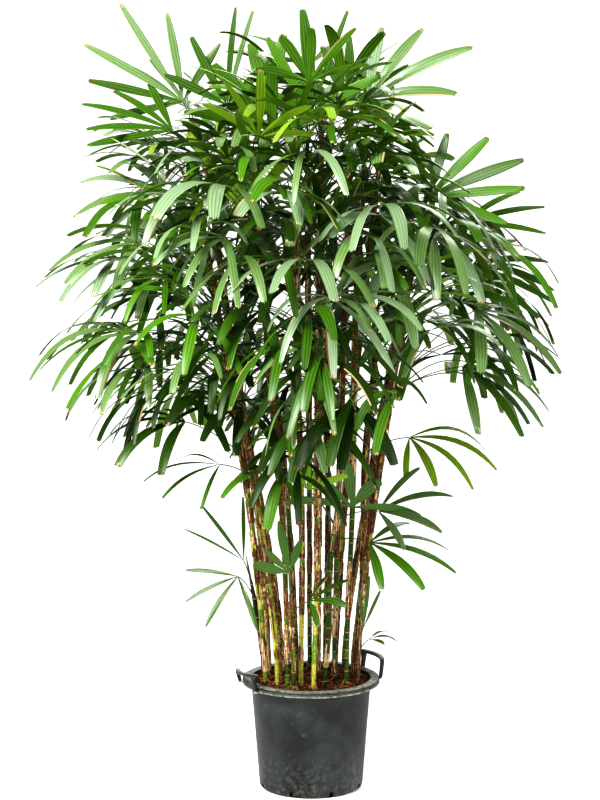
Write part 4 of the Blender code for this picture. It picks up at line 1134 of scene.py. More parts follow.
def shaft_point(index, height):
    """The point of a leafy shaft's axis at a height, on its straight pieces."""
    route, _ = shaft_route(index)
    for low, high in zip(route, route[1:]):
        if height <= high.z:
            break
    return low.lerp(high, (height - low.z) / (high.z - low.z))


def coarse_stem(route, radii):
    """The triangles of a six-sided tapering stem, which keep its space free of leaves."""
    widest = max(radii)
    curve = bpy.data.curves.new("stem_space", "CURVE")
    curve.dimensions = "3D"
    curve.bevel_depth = widest
    curve.bevel_resolution = 1
    curve.use_fill_caps = True
    curve.twist_mode = "MINIMUM"
    spline = curve.splines.new("POLY")
    spline.points.add(len(route) - 1)
    for knot, point, radius in zip(spline.points, route, radii):
        knot.co = (*point, 1.0)
        knot.radius = radius / widest
    item = bpy.data.objects.new("stem_space", curve)
    bpy.context.scene.collection.objects.link(item)
    graph = bpy.context.evaluated_depsgraph_get()
    mesh = bpy.data.meshes.new_from_object(item.evaluated_get(graph))
    bpy.data.objects.remove(item, do_unlink=True)
    weld = bmesh.new()
    weld.from_mesh(mesh)
    bmesh.ops.remove_doubles(weld, verts=weld.verts, dist=0.00001)
    bmesh.ops.triangulate(weld, faces=weld.faces)
    bmesh.ops.recalc_face_normals(weld, faces=weld.faces)
    weld.to_mesh(mesh)
    weld.free()
    triangles = [tuple(mesh.vertices[i].co.copy() for i in face.vertices) for face in mesh.polygons]
    bpy.data.meshes.remove(mesh)
    return triangles


class Bark:
    """What covers one cane: ring scars, bare skin between them, and old sheaths torn to uneven lengths."""

    BARE_A, BARE_B, RING, TAN, BROWN, FIBRE = range(6)
    # How many scars a sheath laps over, its length in gaps between them, the share of the height from which
    # sheaths cover most, and how often bare skin has the second tone
    LAPS = 3
    SHEATH_GAPS = (1.1, 3.3)
    FULL_COVER = 0.55
    SECOND_SKIN = 0.4
    # Noise under which a sheath has split and a strand is darker, and over which a strand is paler
    SPLIT = -0.34
    DARK_STRAND = -0.16
    PALE_STRAND = (0.20, 0.55)

    def __init__(self, index):
        self.index = index
        self.kind = CANES[index][0]
        self.low = SOIL_TOP + SEAT_GAP
        self.height = CANES[index][5] - self.low
        chance = random.Random(CLUMP_SEED * 7 + index)
        self.scars = []
        place = chance.uniform(6.0, 18.0) * MM
        while place < self.height:
            share = place / self.height
            cover = mix(COVERED[self.kind], min(1.0, share / self.FULL_COVER))
            gap = chance.uniform(*SCAR_SPACING) * mix((0.8, 1.2), share)
            length = gap * chance.uniform(*self.SHEATH_GAPS) if chance.random() < cover else 0.0
            weights = (0.4 + 4.0 * (1.0 - share) ** 2, 3.0, 1.0 + 5.0 * share)
            cover_slot = chance.choices((self.TAN, self.BROWN, self.FIBRE), weights)[0]
            bare = self.BARE_B if chance.random() < self.SECOND_SKIN else self.BARE_A
            self.scars.append((place, length, cover_slot, bare, chance.uniform(0.0, 9.0)))
            place += gap

    def at(self, height, angle):
        """The slot and the radius of the bark at a height over the foot and an angle."""
        number = 0
        while number + 1 < len(self.scars) and self.scars[number + 1][0] <= height + SCAR_HALF:
            number += 1
        share = height / self.height
        cut = cut_share(self.index)
        if share < cut:
            radius = mix((CANE_BASE_RADIUS, CANE_TOP_RADIUS), share / cut)
        else:
            radius = mix((CANE_TOP_RADIUS, SHAFT_TIP_RADIUS), (share - cut) / (1.0 - cut))
        radius *= BARE_SHARE
        around = Vector((math.cos(angle), math.sin(angle), 0.0))
        strand = noise.noise(around * 4.2 + UP * (height * 6.5 + self.index))
        for place, length, cover_slot, _, phase in self.scars[max(0, number - self.LAPS):number + 1]:
            over = height - place
            if over < SCAR_HALF / 2:
                continue
            edge = length * (0.62 + 0.8 * noise.noise(around * 1.5 + UP * phase))
            split = noise.noise(around * 1.3 + UP * (height * 5.0 + phase * 2.0))
            if over < edge and split > self.SPLIT:
                flare = SHEATH_RISE[self.kind] * (0.6 + 0.4 * over / edge)
                slot = cover_slot
                if strand < self.DARK_STRAND:
                    slot = self.BROWN if cover_slot == self.TAN else self.FIBRE
                elif strand > mix(self.PALE_STRAND, share):
                    slot = self.TAN
                return slot, radius + flare + STRAND_DEPTH * strand
        place, _, _, bare, _ = self.scars[number]
        over = height - place
        if abs(over) < SCAR_HALF:
            return self.RING, radius + SCAR_RISE * (1.0 - 0.4 * abs(over) / SCAR_HALF)
        return bare, radius + 0.25 * STRAND_DEPTH * strand


def cane_rows(bark, first, last):
    """The heights of a cane's rows of corners between two heights over its foot."""
    rows = {first, last}
    count = max(1, round((last - first) / CANE_ROW))
    rows.update(mix((first, last), i / count) for i in range(count + 1))
    for scar in bark.scars:
        for step in (-SCAR_HALF, 0.0, SCAR_HALF):
            if first < scar[0] + step < last:
                rows.add(scar[0] + step)
    kept = []
    for row in sorted(rows):
        if not kept or row - kept[-1] > 0.8 * MM:
            kept.append(row)
    return kept


def add_cane(maker, bark, first, last):
    """The relief of one length of cane, closed at both ends."""
    rows = cane_rows(bark, first, last)
    corners = []
    for height in rows:
        share = height / bark.height
        centre = cane_point(bark.index, share)
        above = cane_point(bark.index, min(1.0, share + 0.01))
        below = cane_point(bark.index, max(0.0, share - 0.01))
        along = (above - below).normalized()
        side = square_to(Vector((1.0, 0.0, 0.0)), along)
        front = along.cross(side)
        for k in range(CANE_SIDES):
            angle = 2 * math.pi * k / CANE_SIDES
            radius = bark.at(height, angle)[1]
            corners.append(centre + (side * math.cos(angle) + front * math.sin(angle)) * radius)
    slots = []
    for low, high in zip(rows, rows[1:]):
        for k in range(CANE_SIDES):
            slots.append(bark.at((low + high) / 2, 2 * math.pi * (k + 0.5) / CANE_SIDES)[0])
    maker.add(corners, ring_faces(len(rows), CANE_SIDES), slots + [slots[0], slots[-1]])


def add_fibres(maker, bark, first, last, count, chance):
    """Loose hairs and frayed strips that stand off a cane's old sheaths."""
    for _ in range(count):
        height = chance.uniform(first, last)
        angle = chance.uniform(0.0, 2 * math.pi)
        slot, radius = bark.at(height, angle)
        if slot in (bark.BARE_A, bark.BARE_B):
            continue
        share = height / bark.height
        out = Vector((math.cos(angle), math.sin(angle), 0.0))
        point = cane_point(bark.index, share) + out * (radius - 0.3 * MM)
        heading = (out * chance.uniform(0.15, 0.9) + UP * chance.uniform(0.3, 1.2)).normalized()
        bend = aim(chance.uniform(0.0, 360.0), chance.uniform(-60.0, 20.0))
        length = chance.uniform(*FIBRE_LENGTH) * MM
        steps = 4
        route = []
        for _ in range(steps + 1):
            route.append(point.copy())
            point += heading * length / steps
            heading = (heading + bend * chance.uniform(0.1, 0.5)).normalized()
        thick = chance.uniform(*FIBRE_THICKNESS) * MM
        maker.tube(route, [thick * (1.0 - 0.7 * i / steps) for i in range(steps + 1)], 3,
                   bark.TAN if chance.random() < 0.45 else bark.BROWN)


# Leaf rule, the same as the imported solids'


def reach(height, azimuth):
    """How far the crown reaches from its axis at a height, towards an azimuth."""
    rows = CROWN_OUTLINE
    if height <= rows[0][0]:
        left, right = rows[0][1], rows[0][2]
    elif height >= rows[-1][0]:
        left, right = rows[-1][1], rows[-1][2]
    else:
        i = max(k for k in range(len(rows)) if rows[k][0] <= height)
        i = min(i, len(rows) - 2)
        share = (height - rows[i][0]) / (rows[i + 1][0] - rows[i][0])
        left = mix((rows[i][1], rows[i + 1][1]), share)
        right = mix((rows[i][2], rows[i + 1][2]), share)
    side = right if math.cos(azimuth) > 0 else left
    depth = (left + right) / 2
    return 1.0 / math.hypot(math.cos(azimuth) / side, math.sin(azimuth) / depth)


def inside_crown(point):
    """True where a point lies within the crown's outline."""
    if point.z > CROWN_TOP:
        return False
    return math.hypot(point.x, point.y) <= reach(point.z, math.atan2(point.y, point.x))


def leaflet_line(leaf, leaflet):
    """Points along a leaflet with the direction across it at each, from hub to tip."""
    turn = math.radians(leaflet[0])
    side = leaf["face"].cross(leaf["heading"])
    out = leaf["heading"] * math.cos(turn) + side * math.sin(turn)
    across = leaf["face"].cross(out)
    point = leaf["hub"] + out * HUB_RADIUS
    step = (leaflet[1] - HUB_RADIUS) / LINE_STEPS
    line = []
    for i in range(LINE_STEPS + 1):
        along = (out - UP * leaf["sag"] * (i / LINE_STEPS) ** SAG_POWER).normalized()
        line.append((point.copy(), square_to(across, along), along))
        point += along * step
    return line


def notches(leaf):
    """The points round the hub between the leaflets, one more than the leaflets."""
    turns = [leaflet[0] for leaflet in leaf["leaflets"]]
    edges = [(a + b) / 2 for a, b in zip(turns, turns[1:])]
    first = turns[0] - (turns[1] - turns[0]) / 2
    last = turns[-1] + (turns[-1] - turns[-2]) / 2
    side = leaf["face"].cross(leaf["heading"])
    points = []
    for turn in [first] + edges + [last]:
        angle = math.radians(turn)
        points.append(leaf["hub"] + (leaf["heading"] * math.cos(angle) + side * math.sin(angle)) * HUB_RADIUS)
    return points


def leaflet_triangles(leaf, number, ring):
    """The coarse triangles of one leaflet: flat above, with a keel below."""
    leaflet = leaf["leaflets"][number]
    line = leaflet_line(leaf, leaflet)
    top = leaf["hub"] + leaf["face"] * HUB_RISE
    bottom = leaf["hub"] - leaf["face"] * KEEL_DEPTH
    left, right = ring[number + 1], ring[number]
    keel = bottom
    triangles = [(top, right, left)]
    bends = DROOPING_BENDS if leaf["sag"] > STIFF_SAG else STIFF_BENDS
    for bend, share in bends:
        point, across, along = line[bend]
        half = leaflet[2] / 2 * share
        new_left, new_right = point + across * half, point - across * half
        new_keel = point + across.cross(along) * KEEL_DEPTH
        triangles += [(left, right, new_right), (left, new_right, new_left)]
        triangles += [(keel, left, new_left), (keel, new_left, new_keel)]
        triangles += [(keel, new_keel, new_right), (keel, new_right, right)]
        left, right, keel = new_left, new_right, new_keel
    tip = line[-1][0]
    triangles += [(left, right, tip), (keel, left, tip), (keel, tip, right)]
    return triangles


def petiole_sections(leaf):
    """The three-sided sections of the petiole, from its neck behind the hub to its sunk foot."""
    hub, middle, foot = leaf["hub"], leaf["middle"], leaf["foot"]
    neck = hub + (middle - hub).normalized() * PETIOLE_NECK
    half = PETIOLE_THICKNESS / 2
    up = leaf["face"]
    sections = []
    stations = [(neck, hub - middle), (middle, hub - foot), (foot, middle - foot)]
    if (hub - foot).length < STRAIGHT_PETIOLE:
        del stations[1]
    for point, along in stations:
        axis = along.normalized()
        up = square_to(up, axis)
        across = up.cross(axis)
        sections.append((point + (up - across) * half, point + (up + across) * half, point - up * half))
    return sections


def petiole_triangles(leaf, ring):
    """The coarse triangles of the petiole, open where it meets the blade."""
    top = leaf["hub"] + leaf["face"] * HUB_RISE
    bottom = leaf["hub"] - leaf["face"] * KEEL_DEPTH
    sections = petiole_sections(leaf)
    first, last = ring[0], ring[-1]
    corners = sections[0]
    one, two, low = corners
    triangles = [(top, last, two), (top, two, one), (top, one, first)]
    triangles += [(first, one, low), (first, low, bottom), (last, bottom, low), (last, low, two)]
    for section in sections[1:]:
        for i in range(3):
            k = (i + 1) % 3
            triangles += [(corners[i], corners[k], section[k]), (corners[i], section[k], section[i])]
        corners = section
    triangles.append(corners)
    return triangles


class Taken:
    """The space already taken by stems and leaves, with a quick test for touching."""

    def __init__(self):
        self.pieces = []

    @staticmethod
    def measure(triangles):
        """The corners of the box round some triangles."""
        corners = [corner for triangle in triangles for corner in triangle]
        low = [min(corner[i] for corner in corners) for i in range(3)]
        high = [max(corner[i] for corner in corners) for i in range(3)]
        return low, high

    @staticmethod
    def tree(triangles):
        """A search tree of some triangles."""
        corners = [corner for triangle in triangles for corner in triangle]
        faces = [(i, i + 1, i + 2) for i in range(0, len(corners), 3)]
        return BVHTree.FromPolygons(corners, faces)

    def add(self, owner, triangles):
        """Take the space of some triangles."""
        low, high = self.measure(triangles)
        self.pieces.append((owner, low, high, self.tree(triangles)))

    def touched(self, triangles, spared=None):
        """True where the triangles touch a piece, other than a spared owner's."""
        low, high = self.measure(triangles)
        tree = self.tree(triangles)
        for owner, piece_low, piece_high, piece_tree in self.pieces:
            if owner == spared:
                continue
            if any(low[i] > piece_high[i] or high[i] < piece_low[i] for i in range(3)):
                continue
            if tree.overlap(piece_tree):
                return True
        return False


def leaf_triangles(leaf):
    """The coarse triangles of a leaf's petiole, and those of its leaflets."""
    ring = notches(leaf)
    blades = []
    for number in range(len(leaf["leaflets"])):
        blades += leaflet_triangles(leaf, number, ring)
    return petiole_triangles(leaf, ring), blades


def settle_leaf(leaf, owner, taken, fewest, crossing=False):
    """Drop the leaflets that touch something and take the leaf's space, or return None."""
    ring = notches(leaf)
    if not crossing and taken.touched(petiole_triangles(leaf, ring), owner):
        return None
    kept = []
    for number, leaflet in enumerate(leaf["leaflets"]):
        if taken.touched(leaflet_triangles(leaf, number, ring)):
            continue
        kept.append(leaflet)
    if len(kept) < fewest:
        return None
    leaf["leaflets"] = kept
    petiole, blades = leaf_triangles(leaf)
    if taken.touched(blades) or (not crossing and taken.touched(petiole, owner)):
        return None
    taken.add("leaf", petiole + blades)
    return leaf


def marked_leaf(row):
    """A leaf that stands out, as its row states it."""
    index, height, hub, heading, face, sag, leaflets = row
    bare = cane_share(index, height) < cut_share(index)
    foot = cane_point(index, cane_share(index, height)) if bare else shaft_point(index, height)
    hub = Vector(hub)
    heading = Vector(heading).normalized()
    span = (hub - foot).length
    return {
        "foot": foot,
        "middle": (foot + hub) / 2 + UP * span * MARKED_ARCH,
        "hub": hub,
        "heading": heading,
        "face": square_to(Vector(face), heading),
        "sag": sag,
        "leaflets": list(leaflets),
    }


def extra_leaves(taken):
    """The leaves of the photograph that only this finer crown has room for."""
    leaves = []
    for row in EXTRA_LEAVES:
        leaf = marked_leaf(row[1:])
        leaf["green"] = row[0]
        petiole, blades = leaf_triangles(leaf)
        taken.add("leaf", petiole + blades)
        leaves.append((row[1], MARKED_AGE, leaf))
    return leaves


def in_open_sky(point):
    """True where a point lies in one of the gaps that show sky."""
    return any(west < point.x < east and low < point.z < high for west, east, low, high in OPEN_SKY)


def keep_sky_open(leaf, fewest):
    """Drop the leaflets that would close a gap in the crown, and say whether enough are left."""
    kept = []
    for leaflet in leaf["leaflets"]:
        line = leaflet_line(leaf, leaflet)
        if not any(in_open_sky(line[i][0]) for i in SKY_POINTS):
            kept.append(leaflet)
    leaf["leaflets"] = kept
    return len(kept) >= fewest


def ruled_leaf(index, age, azimuth, chance):
    """A leaf by the rule of its age, from 0 for the oldest to 1 for the youngest."""
    foot = shaft_point(index, CANES[index][5] - CANES[index][7] * mix(LEAF_ZONE, age))
    size = chance.uniform(*LEAF_SIZES)
    rise = mix(PETIOLE_RISE, age) + chance.uniform(-RISE_STRAY, RISE_STRAY)
    stalk = mix(PETIOLE_LENGTH, age) * size
    first = aim(azimuth, rise)
    arch = rise - mix(PETIOLE_ARCH, age)
    second = aim(azimuth + chance.uniform(-ARCH_TURN, ARCH_TURN), arch)
    middle = foot + first * stalk * PETIOLE_MIDDLE
    hub = middle + second * stalk * (1.0 - PETIOLE_MIDDLE)
    heading = aim(azimuth + chance.uniform(-HEADING_TURN, HEADING_TURN),
                  arch - mix(BLADE_DIP, age) + chance.uniform(-HEADING_STRAY, HEADING_STRAY))
    upright = square_to(UP, heading)
    roll = math.radians(chance.uniform(-LEAF_ROLL, LEAF_ROLL))
    face = upright * math.cos(roll) + heading.cross(upright) * math.sin(roll)
    count = LEAFLET_COUNT[0] if age < FULL_FAN_AGE else LEAFLET_COUNT[1]
    spread = mix(FAN_SPREAD, age) * chance.uniform(*FAN_SPREADS)
    blade = mix(LEAFLET_LENGTH, age) * size
    width = mix(LEAFLET_WIDTH, age) * chance.uniform(*LEAFLET_WIDTHS)
    leaflets = []
    for i in range(count):
        place = 2.0 * i / (count - 1) - 1.0
        turn = spread * place + chance.uniform(-LEAFLET_TURN, LEAFLET_TURN)
        length = blade * (1.0 - SIDE_SHORTER * place * place) * chance.uniform(*LEAFLET_LENGTHS)
        leaflets.append((turn, length, width * (1.0 - SIDE_NARROWER * abs(place))))
    return {
        "foot": foot,
        "middle": middle,
        "hub": hub,
        "heading": heading,
        "face": face,
        "sag": max(LEAST_SAG, mix(LEAFLET_SAG, age) * chance.uniform(*SAGS)),
        "leaflets": leaflets,
    }


def within_outline(leaf):
    """Shorten or drop the leaflets that would leave the crown's outline."""
    kept = []
    for turn, length, width in leaf["leaflets"]:
        for share in SHORTENED:
            tip = leaflet_line(leaf, (turn, length * share, width))[-1][0]
            if inside_crown(tip):
                kept.append((turn, length * share, width))
                break
    leaf["leaflets"] = kept
    return len(kept) >= FEWEST_LEAFLETS


def outward_azimuth(index, azimuth):
    """Turn an azimuth towards the side of the clump that the cane's head stands on."""
    head_x, head_y = CANES[index][3], CANES[index][4]
    away = math.hypot(head_x, head_y)
    out = math.degrees(math.atan2(head_y, head_x))
    turn = (azimuth - out + 180.0) % 360.0 - 180.0
    pull = mix((1.0, OUTWARD_PULL), min(1.0, away / PULLED_AT))
    return out + turn * pull


def grow_leaves(taken):
    """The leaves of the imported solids, as (cane index, age, leaf) in the order they are placed."""
    leaves = []
    for number, row in enumerate(MARKED_LEAVES):
        leaf = settle_leaf(marked_leaf(row), row[0], taken, MARKED_FEWEST)
        if leaf:
            leaf["green"] = MARKED_GREENS[number]
            leaf["slim"] = SLIM_LEAVES.get(number, 1.0)
            leaves.append((row[0], MARKED_AGE, leaf))
    for index, cane in enumerate(CANES):
        chance = random.Random(CLUMP_SEED + index)
        start_azimuth = chance.uniform(0.0, 360.0)
        count = cane[6]
        for i in reversed(range(count)):
            age = i / max(1, count - 1)
            for attempt in range(LEAF_TRIES):
                stray = chance.uniform(-1.0, 1.0) * (FIRST_STRAY + NEXT_STRAY * attempt)
                azimuth = outward_azimuth(index, start_azimuth + i * GOLDEN_ANGLE + stray)
                leaf = ruled_leaf(index, age, azimuth, chance)
                if not within_outline(leaf):
                    continue
                leaf = settle_leaf(leaf, index, taken, FEWEST_LEAFLETS)
                if leaf:
                    leaf["slim"] = RULED_SLIM
                    leaves.append((index, age, leaf))
                    break
    return leaves


def fill_crown(taken):
    """More leaves by the same rule, where there is room between the others."""
    leaves = []
    for index in range(FILLED_CANES):
        chance = random.Random(FILL_SEED + index)
        tall = CANES[index][5] > TALL_CANE
        for _ in range(FILL_LEAVES):
            age = chance.random()
            if tall:
                age = mix(TALL_AGES, age)
            for _ in range(FILL_TRIES):
                azimuth = outward_azimuth(index, chance.uniform(0.0, 360.0))
                leaf = ruled_leaf(index, age, azimuth, chance)
                leaf["slim"] = chance.uniform(*FILL_SLIM) + (TALL_BROADER if tall else 0.0)
                if not within_outline(leaf) or not keep_sky_open(leaf, FILL_FEWEST):
                    continue
                leaf = settle_leaf(leaf, index, taken, FILL_FEWEST, crossing=True)
                if leaf:
                    leaves.append((index, age, leaf))
                    break
    return leaves


# Fine leaves


def line_at(line, share):
    """The point and directions at a share of a leaflet's line."""
    place = share * LINE_STEPS
    i = min(int(place), LINE_STEPS - 1)
    part = place - i
    (point, across, along), (next_point, next_across, next_along) = line[i], line[i + 1]
    return (point.lerp(next_point, part), across.lerp(next_across, part).normalized(),
            along.lerp(next_along, part).normalized())


def width_share(share, blunt):
    """A leaflet's relative width at a share of its length: narrow foot, broad middle, tapering tip."""
    rise = BLADE_FOOT + (1.0 - BLADE_FOOT) * math.sin(min(1.0, share / BLADE_BROADEST) * math.pi / 2)
    past = max(0.0, (share - BLADE_TAPER) / (1.0 - BLADE_TAPER))
    return rise * (1.0 - (1.0 - blunt) * past ** 1.8)


def add_blade(maker, leaf, leaflet, slots, chance):
    """One pleated leaflet as a thin closed blade with a toothed tip, its pleats' facets lighter and darker in
    turn as painted shading.
    """
    light_slot, shade_slot, under_slot, under_shade_slot, *dry_slots = slots
    droop = MARKED_DROOP if "green" in leaf else RULED_DROOP
    line = leaflet_line(dict(leaf, sag=leaf["sag"] * chance.uniform(*droop)), leaflet)
    width = leaflet[2] * leaf.get("slim", 1.0) * chance.uniform(*BLADE_WIDTHS)
    ribs = 2 if width < TWO_RIBS else (3 if width < THREE_RIBS else 4)
    columns = 2 * ribs + 1
    blunt = chance.uniform(*(SLACK_TIP if leaf["sag"] > SLACK_SAG else FIRM_TIP))
    twist = math.radians(chance.uniform(-BLADE_TWIST, BLADE_TWIST))
    fold = chance.uniform(*BLADE_FOLD)
    dry_tip = chance.random() < DRY_TIPS
    dry_slot = dry_slots[0] if chance.random() < DRY_TAN else dry_slots[1]
    dry_edge = chance.random() < DRY_EDGES
    edge_start, edge_end = sorted((chance.randrange(3, 12), chance.randrange(3, 12)))
    edge_side = chance.choice((0, columns - 2))
    # How many rows of each strip have dried back from the tip
    dried = [chance.choice(DRY_ROWS) if dry_tip else 0 for _ in range(columns - 1)]
    swerve = chance.uniform(-BLADE_SWERVE, BLADE_SWERVE) * leaflet[1]
    teeth = []
    for k in range(columns):
        off_middle = abs(2 * k / (columns - 1) - 1)
        teeth.append(TOOTH * (0.5 * off_middle + (0.0 if k % 2 else 0.6)) * chance.uniform(0.6, 1.3))
    start = leaf["hub"] + (line[0][0] - leaf["hub"]) * FOOT_PLACE
    rows = [(start, line[0][1], line[0][2], FOOT_WIDTH, 0.0)]
    for share in STATIONS:
        point, across, along = line_at(line, share)
        swung = point + across * swerve * share * share
        rows.append((swung, across, along, width_share(share, blunt), share))
    tops = []
    for number, (point, across, along, wide, share) in enumerate(rows):
        turn = twist * share
        normal = along.cross(across)
        lean = across * math.cos(turn) + normal * math.sin(turn)
        normal = along.cross(lean)
        half = width / 2 * wide
        lift = fold * (1.0 - share) ** 3 - TIP_DIP * share
        depth = PLEAT_DEPTH * min(1.0, half / FULL_PLEAT)
        for k in range(columns):
            place = 2 * k / (columns - 1) - 1
            corner = point + lean * (half * place) + normal * (abs(place) * half * lift + (k % 2) * depth)
            if number == len(rows) - 1:
                corner -= along * teeth[k]
            tops.append((corner, normal))
    points = [corner for corner, _ in tops]
    below = {}
    last_row = len(rows) - 1
    for i in range(1, last_row):
        for k in range(1, columns - 1):
            corner, normal = tops[i * columns + k]
            below[i * columns + k] = len(points)
            points.append(corner - normal * BLADE_THICKNESS)
    faces = []
    face_slots = []
    # Alternate facets take a lighter and a darker green, the painted light and shade of the pleats, above and
    # below
    for i in range(last_row):
        for k in range(columns - 1):
            a = i * columns + k
            quad = (a, a + 1, a + columns + 1, a + columns)
            dry = i >= last_row - dried[k] or (dry_edge and k == edge_side and edge_start <= i < edge_end)
            faces.append(quad)
            face_slots.append(dry_slot if dry else (light_slot if k % 2 else shade_slot))
            faces.append(tuple(below.get(corner, corner) for corner in reversed(quad)))
            face_slots.append(dry_slot if dry else (under_slot if k % 2 else under_shade_slot))
    maker.add(points, faces, face_slots)


def choose_green(age, leaf, chance):
    """The kind of green that a leaf shows, from its place in the crown and its age: darker inside and low
    down as painted shade, paler outside and on top as painted sheen.
    """
    if "green" in leaf:
        return leaf["green"]
    hub = leaf["hub"]
    depth = math.hypot(hub.x, hub.y) / reach(hub.z, math.atan2(hub.y, hub.x))
    if hub.z > TOP_LIGHT:
        place = "top"
    elif depth < INNER_DEPTH:
        place = "inner" if hub.z > LOW_SHADE else "low_inner"
    elif hub.z < LOW_SHADE:
        place = "low"
    else:
        place = "young" if age > YOUNG_AGE else "outer"
    return chance.choices(list(GREENS), GREEN_SHARES[place])[0]


def petiole_route(leaf):
    """A smooth line from the shaft to the hub through the petiole's middle."""
    foot, hub = leaf["foot"], leaf["hub"]
    control = leaf["middle"] * 2 - (foot + hub) / 2
    steps = 8
    route = []
    for i in range(steps + 1):
        share = i / steps
        route.append(foot.lerp(control, share).lerp(control.lerp(hub, share), share))
    return route


def model_crown(index, leaves, leaf_materials, greens, stem_materials):
    """The dressed top of one cane: its shaft, its petioles and its leaves."""
    chance = random.Random(CLUMP_SEED * 31 + index)
    blades = Maker()
    stalks = Maker()
    bark = Bark(index)
    cut = cut_share(index) * bark.height
    add_cane(stalks, bark, cut, bark.height - MM)
    add_fibres(stalks, bark, cut, bark.height * 0.97, SHAFT_FIBRES, chance)
    petiole_slot = len(stem_materials) - 1
    for age, leaf in leaves:
        green = choose_green(age, leaf, chance)
        for leaflet in leaf["leaflets"]:
            odd = chance.random() < ODD_LEAFLETS and leaf["hub"].z > LOWEST_ODD
            kind = GREEN_NEIGHBOURS[green] if odd else green
            # The pleats' painted light and shade above, the underside with its painted shade in the pleats,
            # and the dry tones
            slots = [greens[kind + part] for part in ("_light", "_shade", "_under")]
            slots += [greens[UNDER_PLEAT_SHADES[kind]], greens["dry_tan"], greens["dry_brown"]]
            add_blade(blades, leaf, leaflet, slots, chance)
        route = petiole_route(leaf)
        radii = [mix(STALK_RADII, min(1.0, i / 3)) for i in range(len(route))]
        stalks.tube(route, radii, 6, petiole_slot)
    head = cane_point(index, 1.0)
    # The next leaf, still furled into a spear
    spear_top = head + (head - cane_point(index, 0.95)).normalized() * chance.uniform(*SPEAR_LENGTH)
    stalks.tube([head - UP * 4 * MM, head.lerp(spear_top, 0.5), spear_top],
                [SHAFT_TIP_RADIUS * 0.8, 2.6 * MM, 0.5 * MM], 6, petiole_slot)
    node = "crown_%02d" % (index + 1)
    stem = stalks.finish("stalks_%02d" % (index + 1), stem_materials)
    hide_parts(node)
    if leaves:
        fans = blades.finish("fan_leaves_%02d" % (index + 1), leaf_materials)
        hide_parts(node)


def model_cane(index, materials):
    """The dressed bare stem of one cane."""
    chance = random.Random(CLUMP_SEED * 17 + index)
    maker = Maker()
    bark = Bark(index)
    cut = cut_share(index) * bark.height
    add_cane(maker, bark, -4 * MM, cut)
    add_fibres(maker, bark, 4 * MM, cut, CANE_FIBRES, chance)
    cane = maker.finish("cane_bark_%02d" % (index + 1), materials)
    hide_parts("cane_%02d" % (index + 1))


# Light, camera and floor


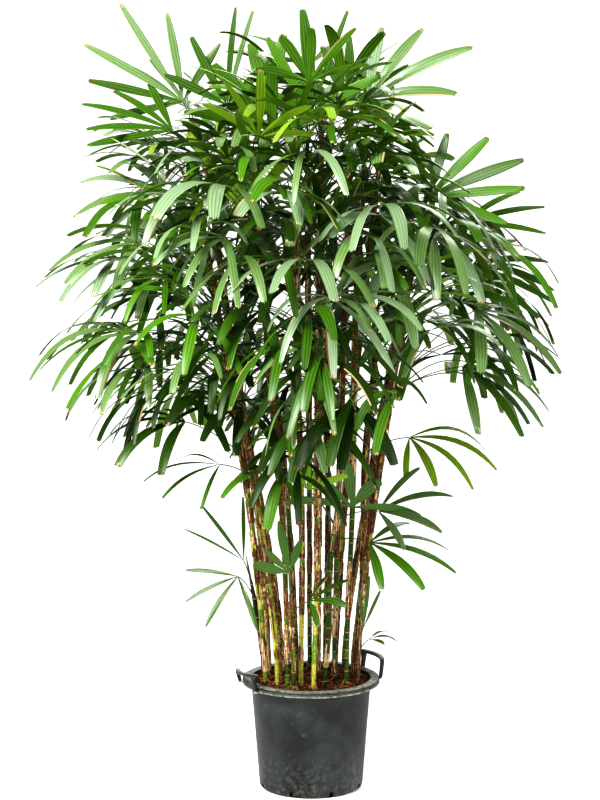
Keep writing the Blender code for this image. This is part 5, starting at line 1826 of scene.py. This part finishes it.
def set_stage():
    """A plain pale floor, soft studio light and the camera of the photograph."""
    deselect()
    bpy.ops.mesh.primitive_plane_add(size=FLOOR_SIDE, location=(0.0, 0.0, -0.5 * MM))
    floor = bpy.context.object
    floor.name = "studio_floor"
    paper, _, shader = new_material("matt_white_paper", 0.9)
    shader.inputs["Base Color"].default_value = (PAPER_WHITE, PAPER_WHITE, PAPER_WHITE, 1.0)
    shader.inputs["Specular IOR Level"].default_value = 0.0
    # Lit a little from below, as a studio table is, so that it meets the white wall without an edge
    shader.inputs["Emission Color"].default_value = (1.0, 1.0, 1.0, 1.0)
    shader.inputs["Emission Strength"].default_value = PAPER_GLOW
    floor.data.materials.append(paper)
    world = bpy.data.worlds.new("studio_room")
    bpy.context.scene.world = world
    world.use_nodes = True
    room = world.node_tree
    where = add_node(room, "ShaderNodeTexCoord")
    split = add_node(room, "ShaderNodeSeparateXYZ", None, {"Vector": where.outputs["Generated"]})
    # White walls under a dimmer ceiling, so that the softboxes and not the room shape the leaves
    wall = ramp(room, split.outputs["Z"], *WALL_END, *ROOM_LIGHT)
    room.links.new(wall, room.nodes["Background"].inputs["Strength"])
    room.nodes["Background"].inputs["Color"].default_value = (1.0, 1.0, 1.0, 1.0)
    for name, place, size, energy in SOFTBOXES:
        light = bpy.data.lights.new(name, "AREA")
        light.size = size
        light.energy = energy
        item = bpy.data.objects.new(name, light)
        item.location = place
        item.rotation_euler = (Vector(PLANT_MIDDLE) - Vector(place)).to_track_quat("-Z", "Y").to_euler()
        bpy.context.scene.collection.objects.link(item)
    lens = bpy.data.cameras.new("studio_camera")
    lens.lens = CAMERA_LENS
    lens.sensor_width = SENSOR_WIDTH
    camera = bpy.data.objects.new("studio_camera", lens)
    camera.location = CAMERA_PLACE
    camera.rotation_euler = (math.radians(90.0 - CAMERA_PITCH), 0.0, 0.0)
    bpy.context.scene.collection.objects.link(camera)
    bpy.context.scene.camera = camera
    bpy.context.scene.view_settings.view_transform = "Standard"
    bpy.context.scene.view_settings.look = "High Contrast"


def main():
    """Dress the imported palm."""
    set_stage()
    model_pot([pot_material("moulded_polypropylene", 0.8)])
    # The handles take more of the pale dust and painted highlight on their upward faces
    handle_plastic = pot_material("moulded_polypropylene_handles", 0.95)
    for handle in HANDLES:
        model_handle(*handle, [handle_plastic])
    peat = grained("peat_and_bark_mix")
    model_soil([peat])
    model_soil_litter([peat, grained("pine_bark_bits"), grained("dry_roots")])

    skins = {kind: [grained(name) for name in names] for kind, names in SKINS.items()}
    covers = [grained(name) for name in CANE_COVERS]
    stalk_green = leaf_material("petiole_green", PETIOLE_TONE, 0.3, 0.5)
    leaf_materials = []
    greens = {}
    # Each kind's shade and light are the pleats' painted shading; its underside has little gloss
    for kind, (shade, light, under, gloss, roughness) in GREENS.items():
        for part, colour, wax in (("_shade", shade, gloss), ("_light", light, gloss), ("_under", under, 0.1)):
            greens[kind + part] = len(leaf_materials)
            leaf_materials.append(leaf_material("leaf_" + kind + part, colour, wax, roughness))
    for part, colour in DRY_TONES:
        greens[part] = len(leaf_materials)
        leaf_materials.append(leaf_material("leaf_" + part, colour, 0.1, 0.8))

    taken = Taken()
    for index in range(len(CANES)):
        taken.add("stem", coarse_stem(*cane_route(index)))
        taken.add(index, coarse_stem(*shaft_route(index)))
    leaves = grow_leaves(taken)
    leaves = [entry for entry in leaves if "green" in entry[2] or keep_sky_open(entry[2], SKY_FEWEST)]
    leaves += extra_leaves(taken)
    leaves += fill_crown(taken)
    for index, cane in enumerate(CANES):
        bark_materials = skins[cane[0]] + covers
        model_cane(index, bark_materials)
        own = [(age, leaf) for owner, age, leaf in leaves if owner == index]
        model_crown(index, own, leaf_materials, greens, bark_materials + [stalk_green])


main()
